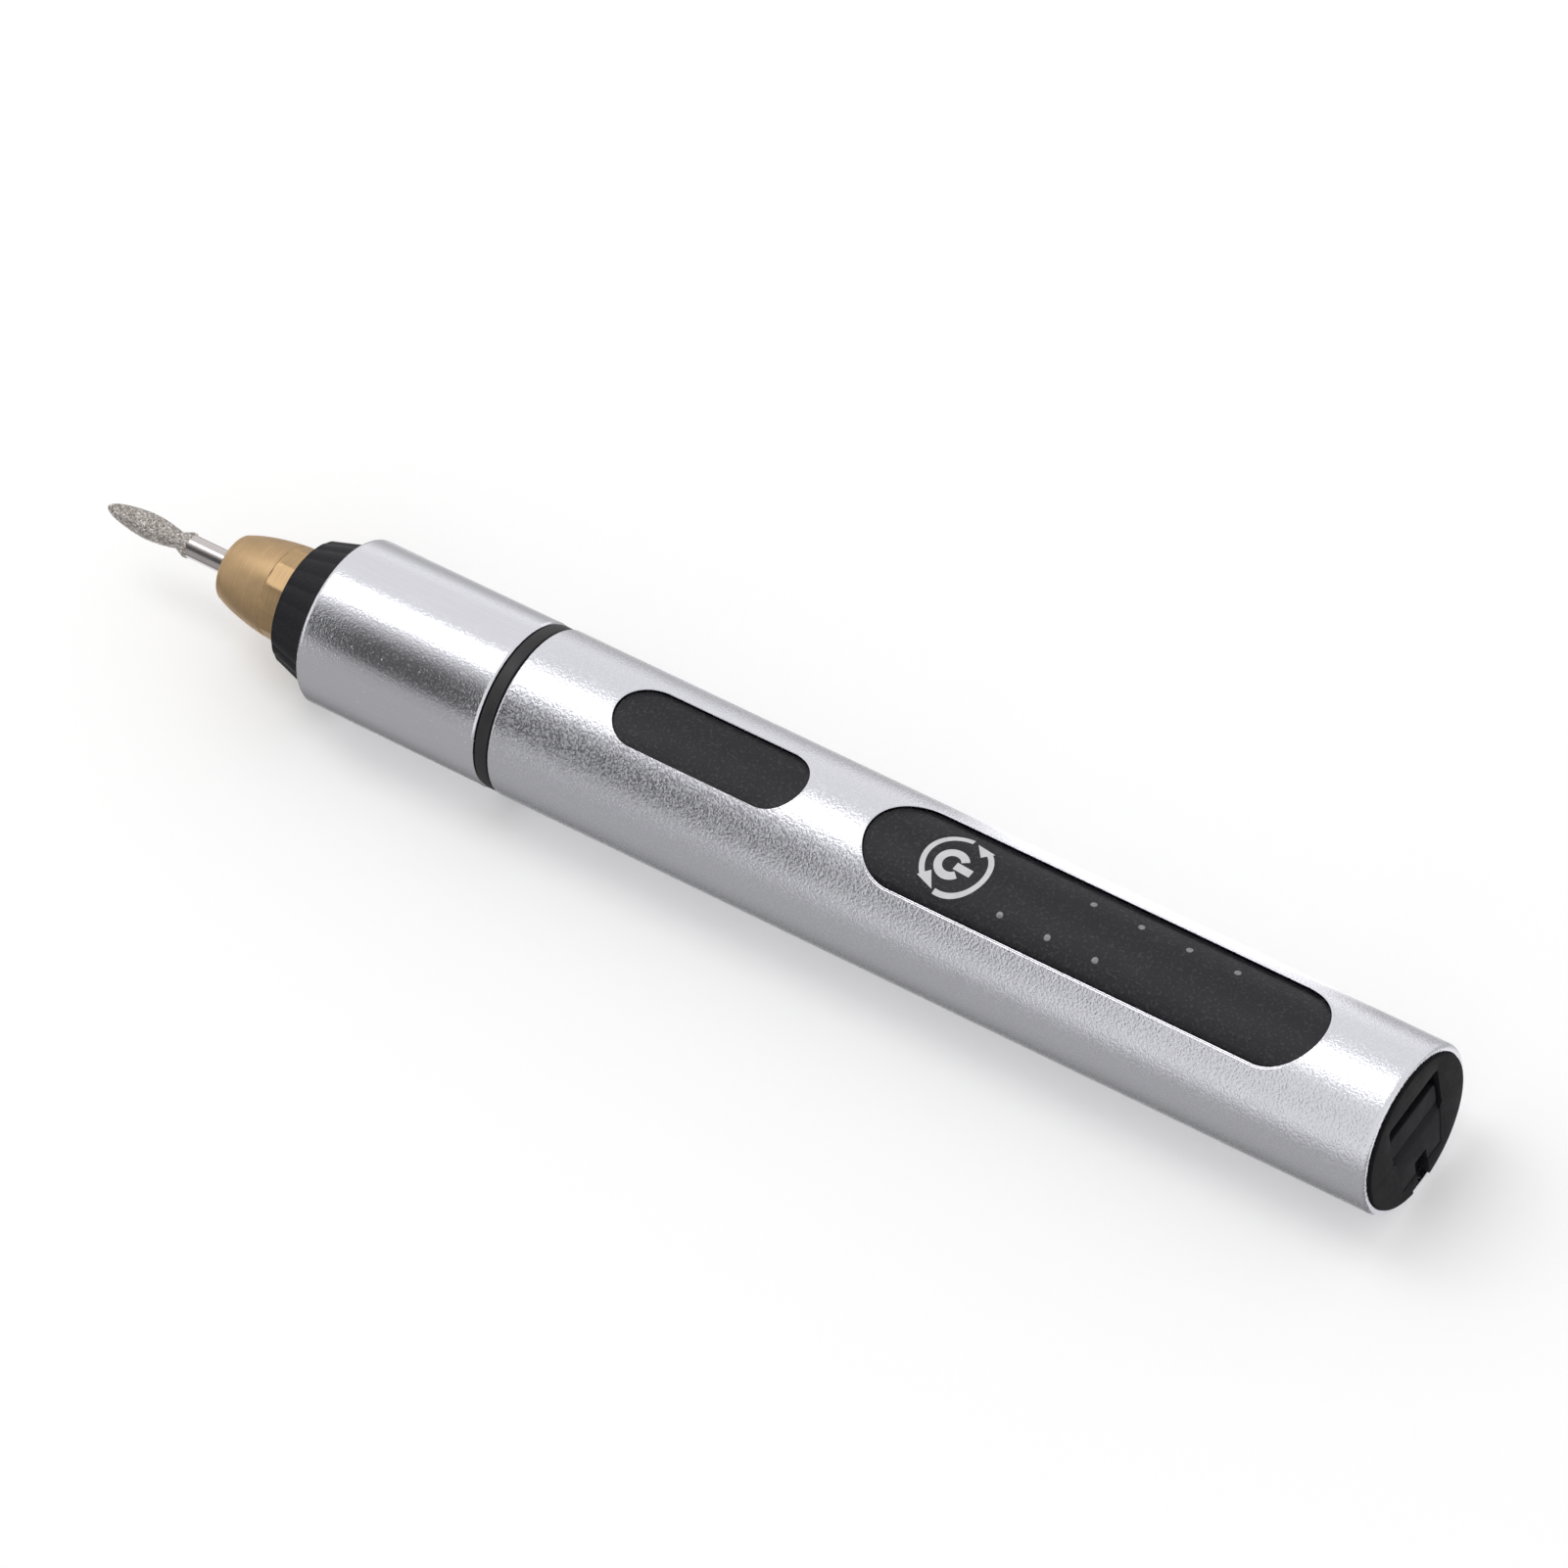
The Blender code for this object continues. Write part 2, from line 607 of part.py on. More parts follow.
def build_panels(pen):
    half_short = SHORT_PANEL_WIDTH / 2 - PANEL_GAP
    plate_inner = panel_radius - SHORT_PANEL_THICKNESS
    curved_plate(
        "front_inlay", short_rear - PANEL_GAP, short_front + PANEL_GAP, half_short,
        panel_radius, plate_inner, "charcoal film", pen,
    )
    half_long = LONG_PANEL_WIDTH / 2 - PANEL_GAP
    rear = long_rear - PANEL_GAP
    front = long_front + PANEL_GAP
    film_inner = panel_radius - FILM_THICKNESS
    film = curved_plate(
        "control_film", rear, front, half_long, panel_radius, film_inner, "charcoal film", pen
    )
    outline = stadium(rear, front, half_long)
    carrier = extruded(
        "panel_carrier", outline, board_top + SEAT_GAP, tube_radius, "black plastic", pen
    )
    keep_inside(carrier, turned_bar("carrier_bend", rear + OVERRUN, front - OVERRUN, carrier_radius, None))
    hollow = stadium_cutter(
        "carrier_hollow", rear - CARRIER_SKIRT_WALL, front + CARRIER_SKIRT_WALL,
        half_long - CARRIER_SKIRT_WALL, board_top - OVERRUN, tube_radius,
    )
    hollow_radius = carrier_radius - CARRIER_WALL
    hollow_bend = turned_bar("carrier_hollow_bend", rear + OVERRUN, front - OVERRUN, hollow_radius, None)
    keep_inside(hollow, hollow_bend)
    lead_gate = block(
        "lead_gate",
        (front - OVERRUN, -LEAD_SLOT_WIDTH / 2, board_top - OVERRUN),
        (front + 2 * CARRIER_SKIRT_WALL, LEAD_SLOT_WIDTH / 2, board_top + LEAD_RISE + LEAD_DIAMETER),
    )
    cut(carrier, hollow, lead_gate)
    key_hole = extruded(
        "key_hole", circle(key_x, 0, KEY_DIAMETER / 2 + FIT_GAP, ROUND_SIDES), board_top, tube_radius, None
    )
    cut(film, key_hole)
    cut(carrier, key_hole)
    for number, (x, y) in enumerate(lamp_places(), 1):
        hole = circle(x, y, LAMP_DIAMETER / 2 + FIT_GAP, PIN_SIDES)
        tool = extruded(f"lamp_hole_{number}", hole, board_top, tube_radius, None)
        cut(film, tool)
        cut(carrier, tool)


def build_lamp_guides(pen):
    """Clear pins that carry the light of each lamp to the film's surface."""
    radius = LAMP_DIAMETER / 2
    reach = LAMP_ROW_OFFSET + radius
    top = math.sqrt(panel_radius**2 - reach**2)
    bottom = board_top + LAMP_HEIGHT + SEAT_GAP
    for number, (x, y) in enumerate(lamp_places(), 1):
        outline = circle(x, y, radius, PIN_SIDES)
        extruded(f"light_guide_{number}", outline, bottom, top, "clear guide", pen, (x, y, bottom))


def build_power_key(pen):
    """The key cap with its stem and two lugs, and the switch's own plunger, on one empty."""
    axis = add_empty("power_key_axis", (key_x, 0, axis_height + panel_radius), pen)
    home = (key_x, 0, panel_radius)
    outline = circle(key_x, 0, KEY_DIAMETER / 2, ROUND_SIDES)
    key = extruded("power_key", outline, key_bottom, tube_radius, "charcoal film", axis, home)
    keep_inside(key, turned_bar("key_bend", key_x + KEY_DIAMETER, key_x - KEY_DIAMETER, panel_radius, None))
    stem_outline = circle(key_x, 0, KEY_STEM_DIAMETER / 2, SMALL_SIDES)
    stem = extruded("key_stem", stem_outline, key_bottom - KEY_STEM, key_bottom + KEY_LUG_OVERLAP, None)
    lug_reach = KEY_DIAMETER / 2 + KEY_LUG_REACH
    lug_top = key_bottom + KEY_LUG_OVERLAP
    lugs = block(
        "key_lugs",
        (key_x - lug_reach, -KEY_LUG_WIDTH / 2, lug_top - KEY_LUG_THICKNESS),
        (key_x + lug_reach, KEY_LUG_WIDTH / 2, lug_top),
    )
    cut(lugs, block(
        "key_lug_space",
        (key_x - KEY_DIAMETER / 2 + KEY_LUG_REACH, -KEY_LUG_WIDTH, lug_top - 2 * KEY_LUG_THICKNESS),
        (key_x + KEY_DIAMETER / 2 - KEY_LUG_REACH, KEY_LUG_WIDTH, key_bottom - SEAT_GAP),
    ))
    add(key, stem, lugs)
    plunger_bottom = board_top + SEAT_GAP + SWITCH_FLOOR + KEY_TRAVEL + SEAT_GAP
    plunger_outline = circle(key_x, 0, SWITCH_PLUNGER_DIAMETER / 2, SMALL_SIDES)
    extruded("switch_plunger", plunger_outline, plunger_bottom, plunger_top, "black plastic", axis, home)


def build_switch(pen):
    half = SWITCH_WIDTH / 2
    low = (key_x - half, -half, board_top + SEAT_GAP)
    high = (key_x + half, half, plunger_top - SWITCH_PLUNGER_RISE)
    body = block("switch_body", low, high, "bright steel", pen, (key_x, 0, board_top))
    well = circle(key_x, 0, SWITCH_PLUNGER_DIAMETER / 2 + FIT_GAP, SMALL_SIDES)
    cut(body, extruded("switch_well", well, board_top + SEAT_GAP + SWITCH_FLOOR, tube_radius, None))


def build_board(pen):
    low = (board_front, -board_half_width, board_bottom)
    high = (board_rear, board_half_width, board_top)
    middle = (board_rear + board_front) / 2
    board = block("control_board", low, high, "green board", pen, (middle, 0, board_top))
    for number, (x, y) in enumerate(lamp_places(), 1):
        low = (x - LAMP_LENGTH / 2, y - LAMP_WIDTH / 2, board_top - BOARD_SINK)
        high = (x + LAMP_LENGTH / 2, y + LAMP_WIDTH / 2, board_top + LAMP_HEIGHT)
        add(board, block(f"lamp_{number}", low, high))
    chip_x = long_front + CHIP_SETBACK
    low = (chip_x - CHIP_LENGTH / 2, -CHIP_WIDTH / 2, board_top - BOARD_SINK)
    high = (chip_x + CHIP_LENGTH / 2, CHIP_WIDTH / 2, board_top + CHIP_HEIGHT)
    add(board, block("board_chip", low, high))


def build_chassis(pen):
    """A long moulding that holds the cell, the board and the motor in the tube."""
    front = motor_front
    chassis = turned_bar(
        "inner_chassis", chassis_rear, front, chassis_radius, "grey plastic", pen, TUBE_SIDES
    )
    wide = tube_radius + OVERRUN
    cell_well = turned_bar(
        "cell_well", cell_rear + TAB_SPACE, cell_front - TAB_SPACE - TAB_THICKNESS, cell_radius + FIT_GAP,
        None, height=cell_height,
    )
    board_well = block(
        "board_well",
        (board_front - FIT_GAP, -board_half_width - FIT_GAP, board_bottom - SEAT_GAP),
        (board_rear + FIT_GAP, board_half_width + FIT_GAP, wide),
    )
    ledge = board_half_width - BOARD_RAIL
    loading_slot = block(
        "loading_slot",
        (cell_front - TAB_SPACE - TAB_THICKNESS, -ledge, cell_height + cell_radius / 2),
        (cell_rear + TAB_SPACE, ledge, board_bottom),
    )
    flat_top = block("chassis_flat", (long_front - FIT_GAP, -wide, board_top), (tube_rear, wide, wide))
    lead_slot = block(
        "lead_slot",
        (motor_rear - END_BELL_THICKNESS, -LEAD_SLOT_WIDTH / 2, board_bottom - SEAT_GAP),
        (board_front, LEAD_SLOT_WIDTH / 2, wide),
    )
    motor_well = turned_bar("motor_well", motor_rear, front - OVERRUN, motor_bore, None)
    cut(chassis, cell_well, board_well, loading_slot, flat_top, lead_slot, motor_well)


def build_cell(pen):
    profile = [(cell_rear, 0), (cell_rear, cell_radius - CELL_EDGE), (cell_rear - CELL_EDGE, cell_radius)]
    profile += [(cell_front + CELL_EDGE, cell_radius), (cell_front, cell_radius - CELL_EDGE)]
    nub = CELL_NUB_DIAMETER / 2
    profile += [(cell_front, nub), (cell_front - CELL_NUB_HEIGHT, nub), (cell_front - CELL_NUB_HEIGHT, 0)]
    turned("cell", profile, (cell_rear + cell_front) / 2, "cell wrap", pen, height=cell_height, closed=False)
    half = TAB_WIDTH / 2
    bottom = cell_height - TAB_DROP
    top = board_bottom - SEAT_GAP
    for name, x in (("cell_tab_rear", cell_rear + SEAT_GAP + TAB_THICKNESS),
                    ("cell_tab_front", cell_front - CELL_NUB_HEIGHT - SEAT_GAP)):
        block(name, (x - TAB_THICKNESS, -half, bottom), (x, half, top), "nickel", pen, (x, 0, top))


def build_leads(pen):
    """The motor's two leads, from the end bell up onto the board."""
    height = board_top + LEAD_RISE
    for name, kind, side in (("motor_lead_red", "red lead", 1), ("motor_lead_black", "black lead", -1)):
        y = side * LEAD_SPACING / 2
        start = Vector((motor_rear - END_BELL_THICKNESS / 2, y, height))
        end = Vector((board_front + LEAD_LAP, y, height))
        curve = bpy.data.curves.new(name, "CURVE")
        curve.dimensions = "3D"
        curve.bevel_depth = LEAD_DIAMETER / 2
        curve.bevel_resolution = 1
        curve.use_fill_caps = True
        spline = curve.splines.new("POLY")
        spline.points.add(2)
        middle = (start + end) / 2 + Vector((0, side * LEAD_DIAMETER / 4, 0))
        for point, place in zip(spline.points, (start, middle, end)):
            point.co = (*(place - start), 1)
        lead = bpy.data.objects.new(name, curve)
        bpy.context.scene.collection.objects.link(lead)
        lead.parent = pen
        lead.location = start + Vector((0, 0, axis_height)) - home_of(pen)
        curve.materials.append(finish_of(name, kind))


def build_tail_cap(pen):
    plug_radius = tube_bore - FIT_GAP
    seat = tube_rear - TUBE_SEAT_DEPTH + SEAT_GAP
    profile = [(plug_front, 0), (plug_front, plug_radius), (seat, plug_radius), (seat, cap_radius)]
    edge_centre = (cap_face - CAP_EDGE, cap_radius - CAP_EDGE)
    profile += reversed(list(arc(edge_centre, CAP_EDGE, 0, math.pi / 2, CORNER_STEPS)))
    profile += [(cap_face, 0)]
    cap = turned("tail_cap", profile, cap_face, "black plastic", pen, TUBE_SIDES, closed=False)
    outside = cap_face + OVERRUN
    pocket = round_rectangle(
        -POCKET_WIDTH / 2, POCKET_WIDTH / 2, HINGE_HEIGHT - COVER_CORNER, POCKET_TOP, COVER_CORNER
    )
    cut(cap, extruded("port_pocket", pocket, cap_face - POCKET_DEPTH, outside, None, across="X"))
    top_half = COVER_WIDTH / 2 + SEAT_GAP
    bottom_half = top_half - STRAP_TAPER
    channel = [(-bottom_half, -STRAP_BOTTOM - SEAT_GAP), (bottom_half, -STRAP_BOTTOM - SEAT_GAP)]
    channel += [(top_half, HINGE_HEIGHT), (-top_half, HINGE_HEIGHT)]
    channel_floor = cap_face - COVER_SINK - STRAP_THICKNESS - SEAT_GAP
    cut(cap, extruded("strap_channel", channel, channel_floor, outside, None, across="X"))
    pit = rectangle(-PIT_WIDTH / 2, PIT_WIDTH / 2, NOTCH_HEIGHT - cap_radius - OVERRUN, -PIT_TOP)
    cut(cap, extruded("cover_pit", pit, cap_face - PIT_DEPTH, outside, None, across="X"))
    notch_near = NOTCH_OFFSET - NOTCH_WIDTH / 2
    notch_far = NOTCH_OFFSET + NOTCH_WIDTH / 2
    notch = rectangle(notch_near, notch_far, -cap_radius - OVERRUN, NOTCH_HEIGHT - cap_radius)
    notch_floor = tube_rear - TUBE_SEAT_DEPTH - OVERRUN
    cut(cap, extruded("rim_notch", notch, notch_floor, outside, None, across="X"))
    half = SOCKET_WIDTH / 2 + FIT_GAP
    low = SOCKET_CENTRE - SOCKET_HEIGHT / 2 - FIT_GAP
    high = SOCKET_CENTRE + SOCKET_HEIGHT / 2 + FIT_GAP
    mouth = cap_face - POCKET_DEPTH
    cut(cap, block("socket_well", (plug_front - OVERRUN, -half, low), (mouth + SEAT_GAP, half, high)))
    board_half = CHARGE_BOARD_WIDTH / 2 + FIT_GAP
    board_high = SOCKET_CENTRE - SOCKET_HEIGHT / 2 - SEAT_GAP
    board_low = board_high - CHARGE_BOARD_THICKNESS - FIT_GAP
    cut(cap, block(
        "charge_board_well",
        (plug_front - OVERRUN, -board_half, board_low),
        (mouth - SOCKET_SHELL, board_half, board_high + FIT_GAP),
    ))


def build_port_cover(pen):
    """The rubber cover turns about the groove that divides it from its strap."""
    axis = add_empty("cover_hinge", (cap_face - COVER_SINK, 0, axis_height + HINGE_HEIGHT), pen)
    front = cap_face - COVER_SINK
    back = front - COVER_THICKNESS
    bottom = HINGE_HEIGHT + HINGE_GROOVE / 2
    outline = round_rectangle(-COVER_WIDTH / 2, COVER_WIDTH / 2, bottom, COVER_TOP, COVER_CORNER)
    home = (front, 0, HINGE_HEIGHT)
    cover = extruded("port_cover", outline, back, front, "black rubber", axis, home, across="X")
    pad_low = SOCKET_CENTRE - PAD_HEIGHT / 2
    pad = block(
        "cover_pad",
        (back - PAD_THICKNESS, -PAD_WIDTH / 2, pad_low),
        (back + SEAT_GAP, PAD_WIDTH / 2, pad_low + PAD_HEIGHT),
    )
    add(cover, pad)
    top_half = COVER_WIDTH / 2
    bottom_half = top_half - STRAP_TAPER
    top = HINGE_HEIGHT - HINGE_GROOVE / 2
    strap_outline = [(-bottom_half, -STRAP_BOTTOM), (bottom_half, -STRAP_BOTTOM)]
    strap_outline += [(top_half, top), (-top_half, top)]
    strap = extruded(
        "cover_strap", strap_outline, front - STRAP_THICKNESS, front, "black rubber", pen, home, across="X"
    )
    slot = rectangle(-PIT_WIDTH / 2, PIT_WIDTH / 2, -STRAP_BOTTOM - OVERRUN, -PIT_TOP)
    cut(strap, extruded("strap_slot", slot, back - OVERRUN, front + OVERRUN, None, across="X"))


def build_charging(pen):
    mouth = cap_face - POCKET_DEPTH
    rear_wall = mouth - SOCKET_LENGTH
    half = SOCKET_WIDTH / 2
    low = SOCKET_CENTRE - SOCKET_HEIGHT / 2
    high = SOCKET_CENTRE + SOCKET_HEIGHT / 2
    outline = round_rectangle(-half, half, low, high, COVER_CORNER)
    home = (mouth, 0, SOCKET_CENTRE)
    shell = extruded("charge_socket", outline, rear_wall, mouth, "nickel", pen, home, across="X")
    corner = COVER_CORNER - SOCKET_SHELL / 2
    inner_half = half - SOCKET_SHELL
    inner = round_rectangle(-inner_half, inner_half, low + SOCKET_SHELL, high - SOCKET_SHELL, corner)
    cut(shell, extruded("socket_mouth", inner, rear_wall + SOCKET_BACK, mouth + OVERRUN, None, across="X"))
    tongue_front = rear_wall + SOCKET_BACK + SEAT_GAP
    block(
        "socket_tongue",
        (tongue_front, -TONGUE_WIDTH / 2, SOCKET_CENTRE - TONGUE_THICKNESS / 2),
        (mouth - TONGUE_SHORTFALL, TONGUE_WIDTH / 2, SOCKET_CENTRE + TONGUE_THICKNESS / 2),
        "black plastic", pen, home,
    )
    board_top_side = low - 2 * SEAT_GAP
    board_start = mouth - SOCKET_SHELL - FIT_GAP
    block(
        "charge_board",
        (plug_front + FIT_GAP, -CHARGE_BOARD_WIDTH / 2, board_top_side - CHARGE_BOARD_THICKNESS),
        (board_start, CHARGE_BOARD_WIDTH / 2, board_top_side),
        "green board", pen, (board_start, 0, board_top_side),
    )


def build_motor_casing(pen):
    shaft_hole = MOTOR_SHAFT_DIAMETER / 2 + RUNNING_GAP
    inner = motor_radius - MOTOR_CAN_WALL
    boss = MOTOR_BOSS_DIAMETER / 2
    floor = motor_front + MOTOR_CAN_WALL
    profile = [(can_rear, inner), (can_rear, motor_radius), (motor_front + MOTOR_CAN_EDGE, motor_radius)]
    profile += [(motor_front, motor_radius - MOTOR_CAN_EDGE), (motor_front, boss)]
    profile += [(motor_front - MOTOR_BOSS_HEIGHT, boss), (motor_front - MOTOR_BOSS_HEIGHT, shaft_hole)]
    profile += [(floor, shaft_hole), (floor, inner)]
    turned("motor_can", profile, (can_rear + motor_front) / 2, "bright steel", pen)
    plug = inner - FIT_GAP
    profile = [(motor_rear, shaft_hole), (motor_rear, motor_radius), (can_rear + SEAT_GAP, motor_radius)]
    profile += [(can_rear + SEAT_GAP, plug), (can_rear - END_BELL_PLUG, plug)]
    profile += [(can_rear - END_BELL_PLUG, plug - MOTOR_CAN_WALL), (can_rear, plug - MOTOR_CAN_WALL)]
    profile += [(can_rear, shaft_hole)]
    bell = turned("motor_end_bell", profile, motor_rear, "black plastic", pen)
    wide = LEAD_SLOT_WIDTH / 2
    cut(bell, block(
        "lead_notch",
        (can_rear + SEAT_GAP, -wide, board_bottom), (motor_rear + OVERRUN, wide, motor_radius + OVERRUN),
    ))


def build_magnets(pen):
    outer = motor_radius - MOTOR_CAN_WALL - FIT_GAP
    inner = outer - MAGNET_THICKNESS
    front = motor_front + MOTOR_CAN_WALL + MAGNET_SETBACK
    for name, middle in (("magnet_near", math.pi), ("magnet_far", 0.0)):
        start = middle - MAGNET_ARC / 2
        end = middle + MAGNET_ARC / 2
        outline = list(arc((0, 0), outer, start, end, MAGNET_STEPS))
        outline += reversed(list(arc((0, 0), inner, start, end, MAGNET_STEPS)))
        extruded(name, outline, front, front + MAGNET_LENGTH, "magnet", pen, (front, 0, 0), across="X")


def armature_radius():
    return motor_radius - MOTOR_CAN_WALL - FIT_GAP - MAGNET_THICKNESS - ARMATURE_AIR_GAP


def turn_about_axis(obj, angle):
    obj.rotation_euler = (angle, 0, 0)


def build_armature(spin):
    """The three-pole core, its windings, the commutator and the shaft."""
    outer = armature_radius()
    shoe = outer - POLE_SHOE_THICKNESS
    hub = ARMATURE_HUB_DIAMETER / 2
    shaft = MOTOR_SHAFT_DIAMETER / 2
    front = motor_front + MOTOR_CAN_WALL + MAGNET_SETBACK + (MAGNET_LENGTH - ARMATURE_LENGTH) / 2
    rear = front + ARMATURE_LENGTH
    middle = (front + rear) / 2
    core = turned_pipe("armature_core", rear, front, hub, shaft + SEAT_GAP, "bright steel", spin, ROUND_SIDES)
    start = math.pi / 2 - POLE_SHOE_ARC / 2
    end = math.pi / 2 + POLE_SHOE_ARC / 2
    outline = list(arc((0, 0), outer, start, end, POLE_SHOE_STEPS))
    outline += reversed(list(arc((0, 0), shoe, start, end, POLE_SHOE_STEPS)))
    stem_low = (shaft + hub) / 2
    for number in range(POLE_COUNT):
        angle = math.tau * number / POLE_COUNT
        crown = extruded(f"pole_shoe_{number}", outline, front, rear, None, None, (middle, 0, 0), across="X")
        stem = block(
            f"pole_stem_{number}",
            (front, -POLE_STEM / 2, stem_low), (rear, POLE_STEM / 2, shoe + POLE_SHOE_THICKNESS / 2),
            None, None, (middle, 0, 0),
        )
        turn_about_axis(crown, angle)
        turn_about_axis(stem, angle)
        add(core, stem, crown)
        build_winding(spin, number, front, rear, middle, shoe, angle)
    comm_front = rear + WINDING_THICKNESS + 2 * WINDING_SPACE
    comm_rear = comm_front + COMMUTATOR_LENGTH
    comm_radius = COMMUTATOR_DIAMETER / 2
    comm = turned_pipe(
        "commutator", comm_rear, comm_front, comm_radius, shaft + SEAT_GAP, "copper wire", spin, SMALL_SIDES
    )
    for number in range(POLE_COUNT):
        slot = block(
            f"commutator_slot_{number}",
            (comm_front - OVERRUN, -COMMUTATOR_SLOT / 2, (shaft + comm_radius) / 2),
            (comm_rear + OVERRUN, COMMUTATOR_SLOT / 2, COMMUTATOR_DIAMETER),
            None, None, ((comm_front + comm_rear) / 2, 0, 0),
        )
        turn_about_axis(slot, math.tau * (number + 0.5) / POLE_COUNT)
        cut(comm, slot)
    shaft_front = motor_front - MOTOR_SHAFT_REACH
    turned_bar("motor_shaft", motor_rear - SEAT_GAP, shaft_front, shaft, "polished steel", spin, SMALL_SIDES)
    return comm_front, comm_rear


def build_winding(spin, number, front, rear, middle, shoe, angle):
    """One coil: a ring of wire round a pole's stem."""
    low = ARMATURE_HUB_DIAMETER / 2 + WINDING_SPACE
    inner_half = POLE_STEM / 2 + WINDING_SPACE
    outer_half = inner_half + WINDING_THICKNESS
    space = WINDING_SPACE
    high = math.sqrt(shoe**2 - outer_half**2) - space
    coil = block(
        f"winding_{number + 1}",
        (front - space - WINDING_THICKNESS, -outer_half, low),
        (rear + space + WINDING_THICKNESS, outer_half, high),
        "copper wire", spin, (middle, 0, 0),
    )
    well = block(
        f"winding_well_{number}",
        (front - space, -inner_half, low - OVERRUN), (rear + space, inner_half, shoe + OVERRUN),
        None, None, (middle, 0, 0),
    )
    turn_about_axis(coil, angle)
    turn_about_axis(well, angle)
    cut(coil, well)


def build_brushes(pen, comm_front, comm_rear):
    """Two strips that reach from the end bell to the commutator."""
    middle = (comm_front + comm_rear) / 2
    touch = COMMUTATOR_DIAMETER / 2 + RUNNING_GAP
    half = BRUSH_WIDTH / 2
    for name, side in (("brush_near", -1), ("brush_far", 1)):
        near = side * touch
        far = side * (touch + BRUSH_THICKNESS)
        low = (middle, min(near, far), -half)
        high = (can_rear - SEAT_GAP, max(near, far), half)
        block(name, low, high, "nickel", pen, (can_rear, near, 0))


def build_housing(pen):
    """Carries both bearings inside the front sleeve."""
    outer = sleeve_bore - FIT_GAP
    seat = BEARING_DIAMETER / 2 + SEAT_GAP
    waist = seat - HOUSING_SHOULDER
    rear_stop = rear_bearing_x - BEARING_WIDTH / 2 - SEAT_GAP
    front_stop = front_bearing_x + BEARING_WIDTH / 2 + SEAT_GAP
    profile = [(housing_rear, seat), (housing_rear, outer), (housing_front, outer), (housing_front, seat)]
    profile += [(front_stop, seat), (front_stop, waist), (rear_stop, waist), (rear_stop, seat)]
    turned("bearing_housing", profile, (housing_rear + housing_front) / 2, "brass", pen, TUBE_SIDES)


def build_bearing(name, x, pen, spin, cages):
    rear = x + BEARING_WIDTH / 2
    front = x - BEARING_WIDTH / 2
    outer = BEARING_DIAMETER / 2
    race_outer = outer - BEARING_RING
    inner = SPINDLE_DIAMETER / 2 + SEAT_GAP
    race_inner = inner + BEARING_RING
    turned_pipe(f"{name}_outer_ring", rear, front, outer, race_outer, "polished steel", pen)
    turned_pipe(f"{name}_inner_ring", rear, front, race_inner, inner, "polished steel", spin)
    pitch = (race_outer + race_inner) / 2
    cage = turned_pipe(
        f"{name}_ball_cage", x + CAGE_WIDTH / 2, x - CAGE_WIDTH / 2,
        pitch + CAGE_THICKNESS / 2, pitch - CAGE_THICKNESS / 2, "brass", cages,
    )
    ball_radius = min(BALL_DIAMETER, race_outer - race_inner - 2 * RUNNING_GAP) / 2
    for number in range(BALL_COUNT):
        angle = math.tau * number / BALL_COUNT
        bm = bmesh.new()
        bmesh.ops.create_icosphere(bm, subdivisions=1, radius=ball_radius)
        bmesh.ops.translate(bm, verts=bm.verts, vec=(0, pitch * math.sin(angle), pitch * math.cos(angle)))
        ball = add_object(f"{name}_ball_{number}", mesh_from(bm, name), (x, 0, axis_height), None, None)
        add(cage, ball)


def build_spindle(spin):
    """A hollow steel shaft: journal, hub, nut thread and a bore for the collet and shank."""
    journal = SPINDLE_DIAMETER / 2
    hub = SPINDLE_HUB_DIAMETER / 2
    thread = SPINDLE_THREAD_DIAMETER / 2
    collet_bore = COLLET_DIAMETER / 2 + FIT_GAP
    collet_floor = collet_rear + FIT_GAP
    shank_floor = nut_front + SHANK_HIDDEN + FIT_GAP
    profile = [(spindle_rear, 0), (spindle_rear, journal), (hub_rear, journal), (hub_rear, hub)]
    profile += [(hub_front, hub), (hub_front, thread), (thread_front, thread), (thread_front, collet_bore)]
    profile += [(collet_floor, collet_bore), (collet_floor, shank_bore)]
    profile += [(shank_floor, shank_bore), (shank_floor, 0)]
    turned("spindle", profile, hub_front, "polished steel", spin, SHAFT_SIDES, closed=False)


def build_coupling(spin):
    shaft = MOTOR_SHAFT_DIAMETER / 2 + FIT_GAP / 2
    grip = SPINDLE_DIAMETER / 2 + FIT_GAP / 2
    outer = COUPLING_DIAMETER / 2
    floor = spindle_rear + FIT_GAP
    profile = [(coupling_rear, shaft), (coupling_rear, outer - COUPLING_EDGE)]
    profile += [(coupling_rear - COUPLING_EDGE, outer), (coupling_front + COUPLING_EDGE, outer)]
    profile += [(coupling_front, outer - COUPLING_EDGE)]
    profile += [(coupling_front, grip), (floor, grip), (floor, shaft)]
    middle = (coupling_rear + coupling_front) / 2
    coupling = turned("drive_coupling", profile, middle, "brass", spin, SHAFT_SIDES)
    screws = (("grub_screw_motor", coupling_rear - GRUB_END_SPACE, shaft),
              ("grub_screw_spindle", coupling_front + GRUB_END_SPACE, grip))
    for name, x, seat in screws:
        hole = circle(x, 0, GRUB_DIAMETER / 2 + FIT_GAP / 2, PIN_SIDES)
        cut(coupling, extruded(name + "_hole", hole, 0, outer + OVERRUN, None))
        body = circle(x, 0, GRUB_DIAMETER / 2, PIN_SIDES)
        extruded(name, body, seat + FIT_GAP / 2, outer - GRUB_SINK, "bright steel", spin, (x, 0, outer))


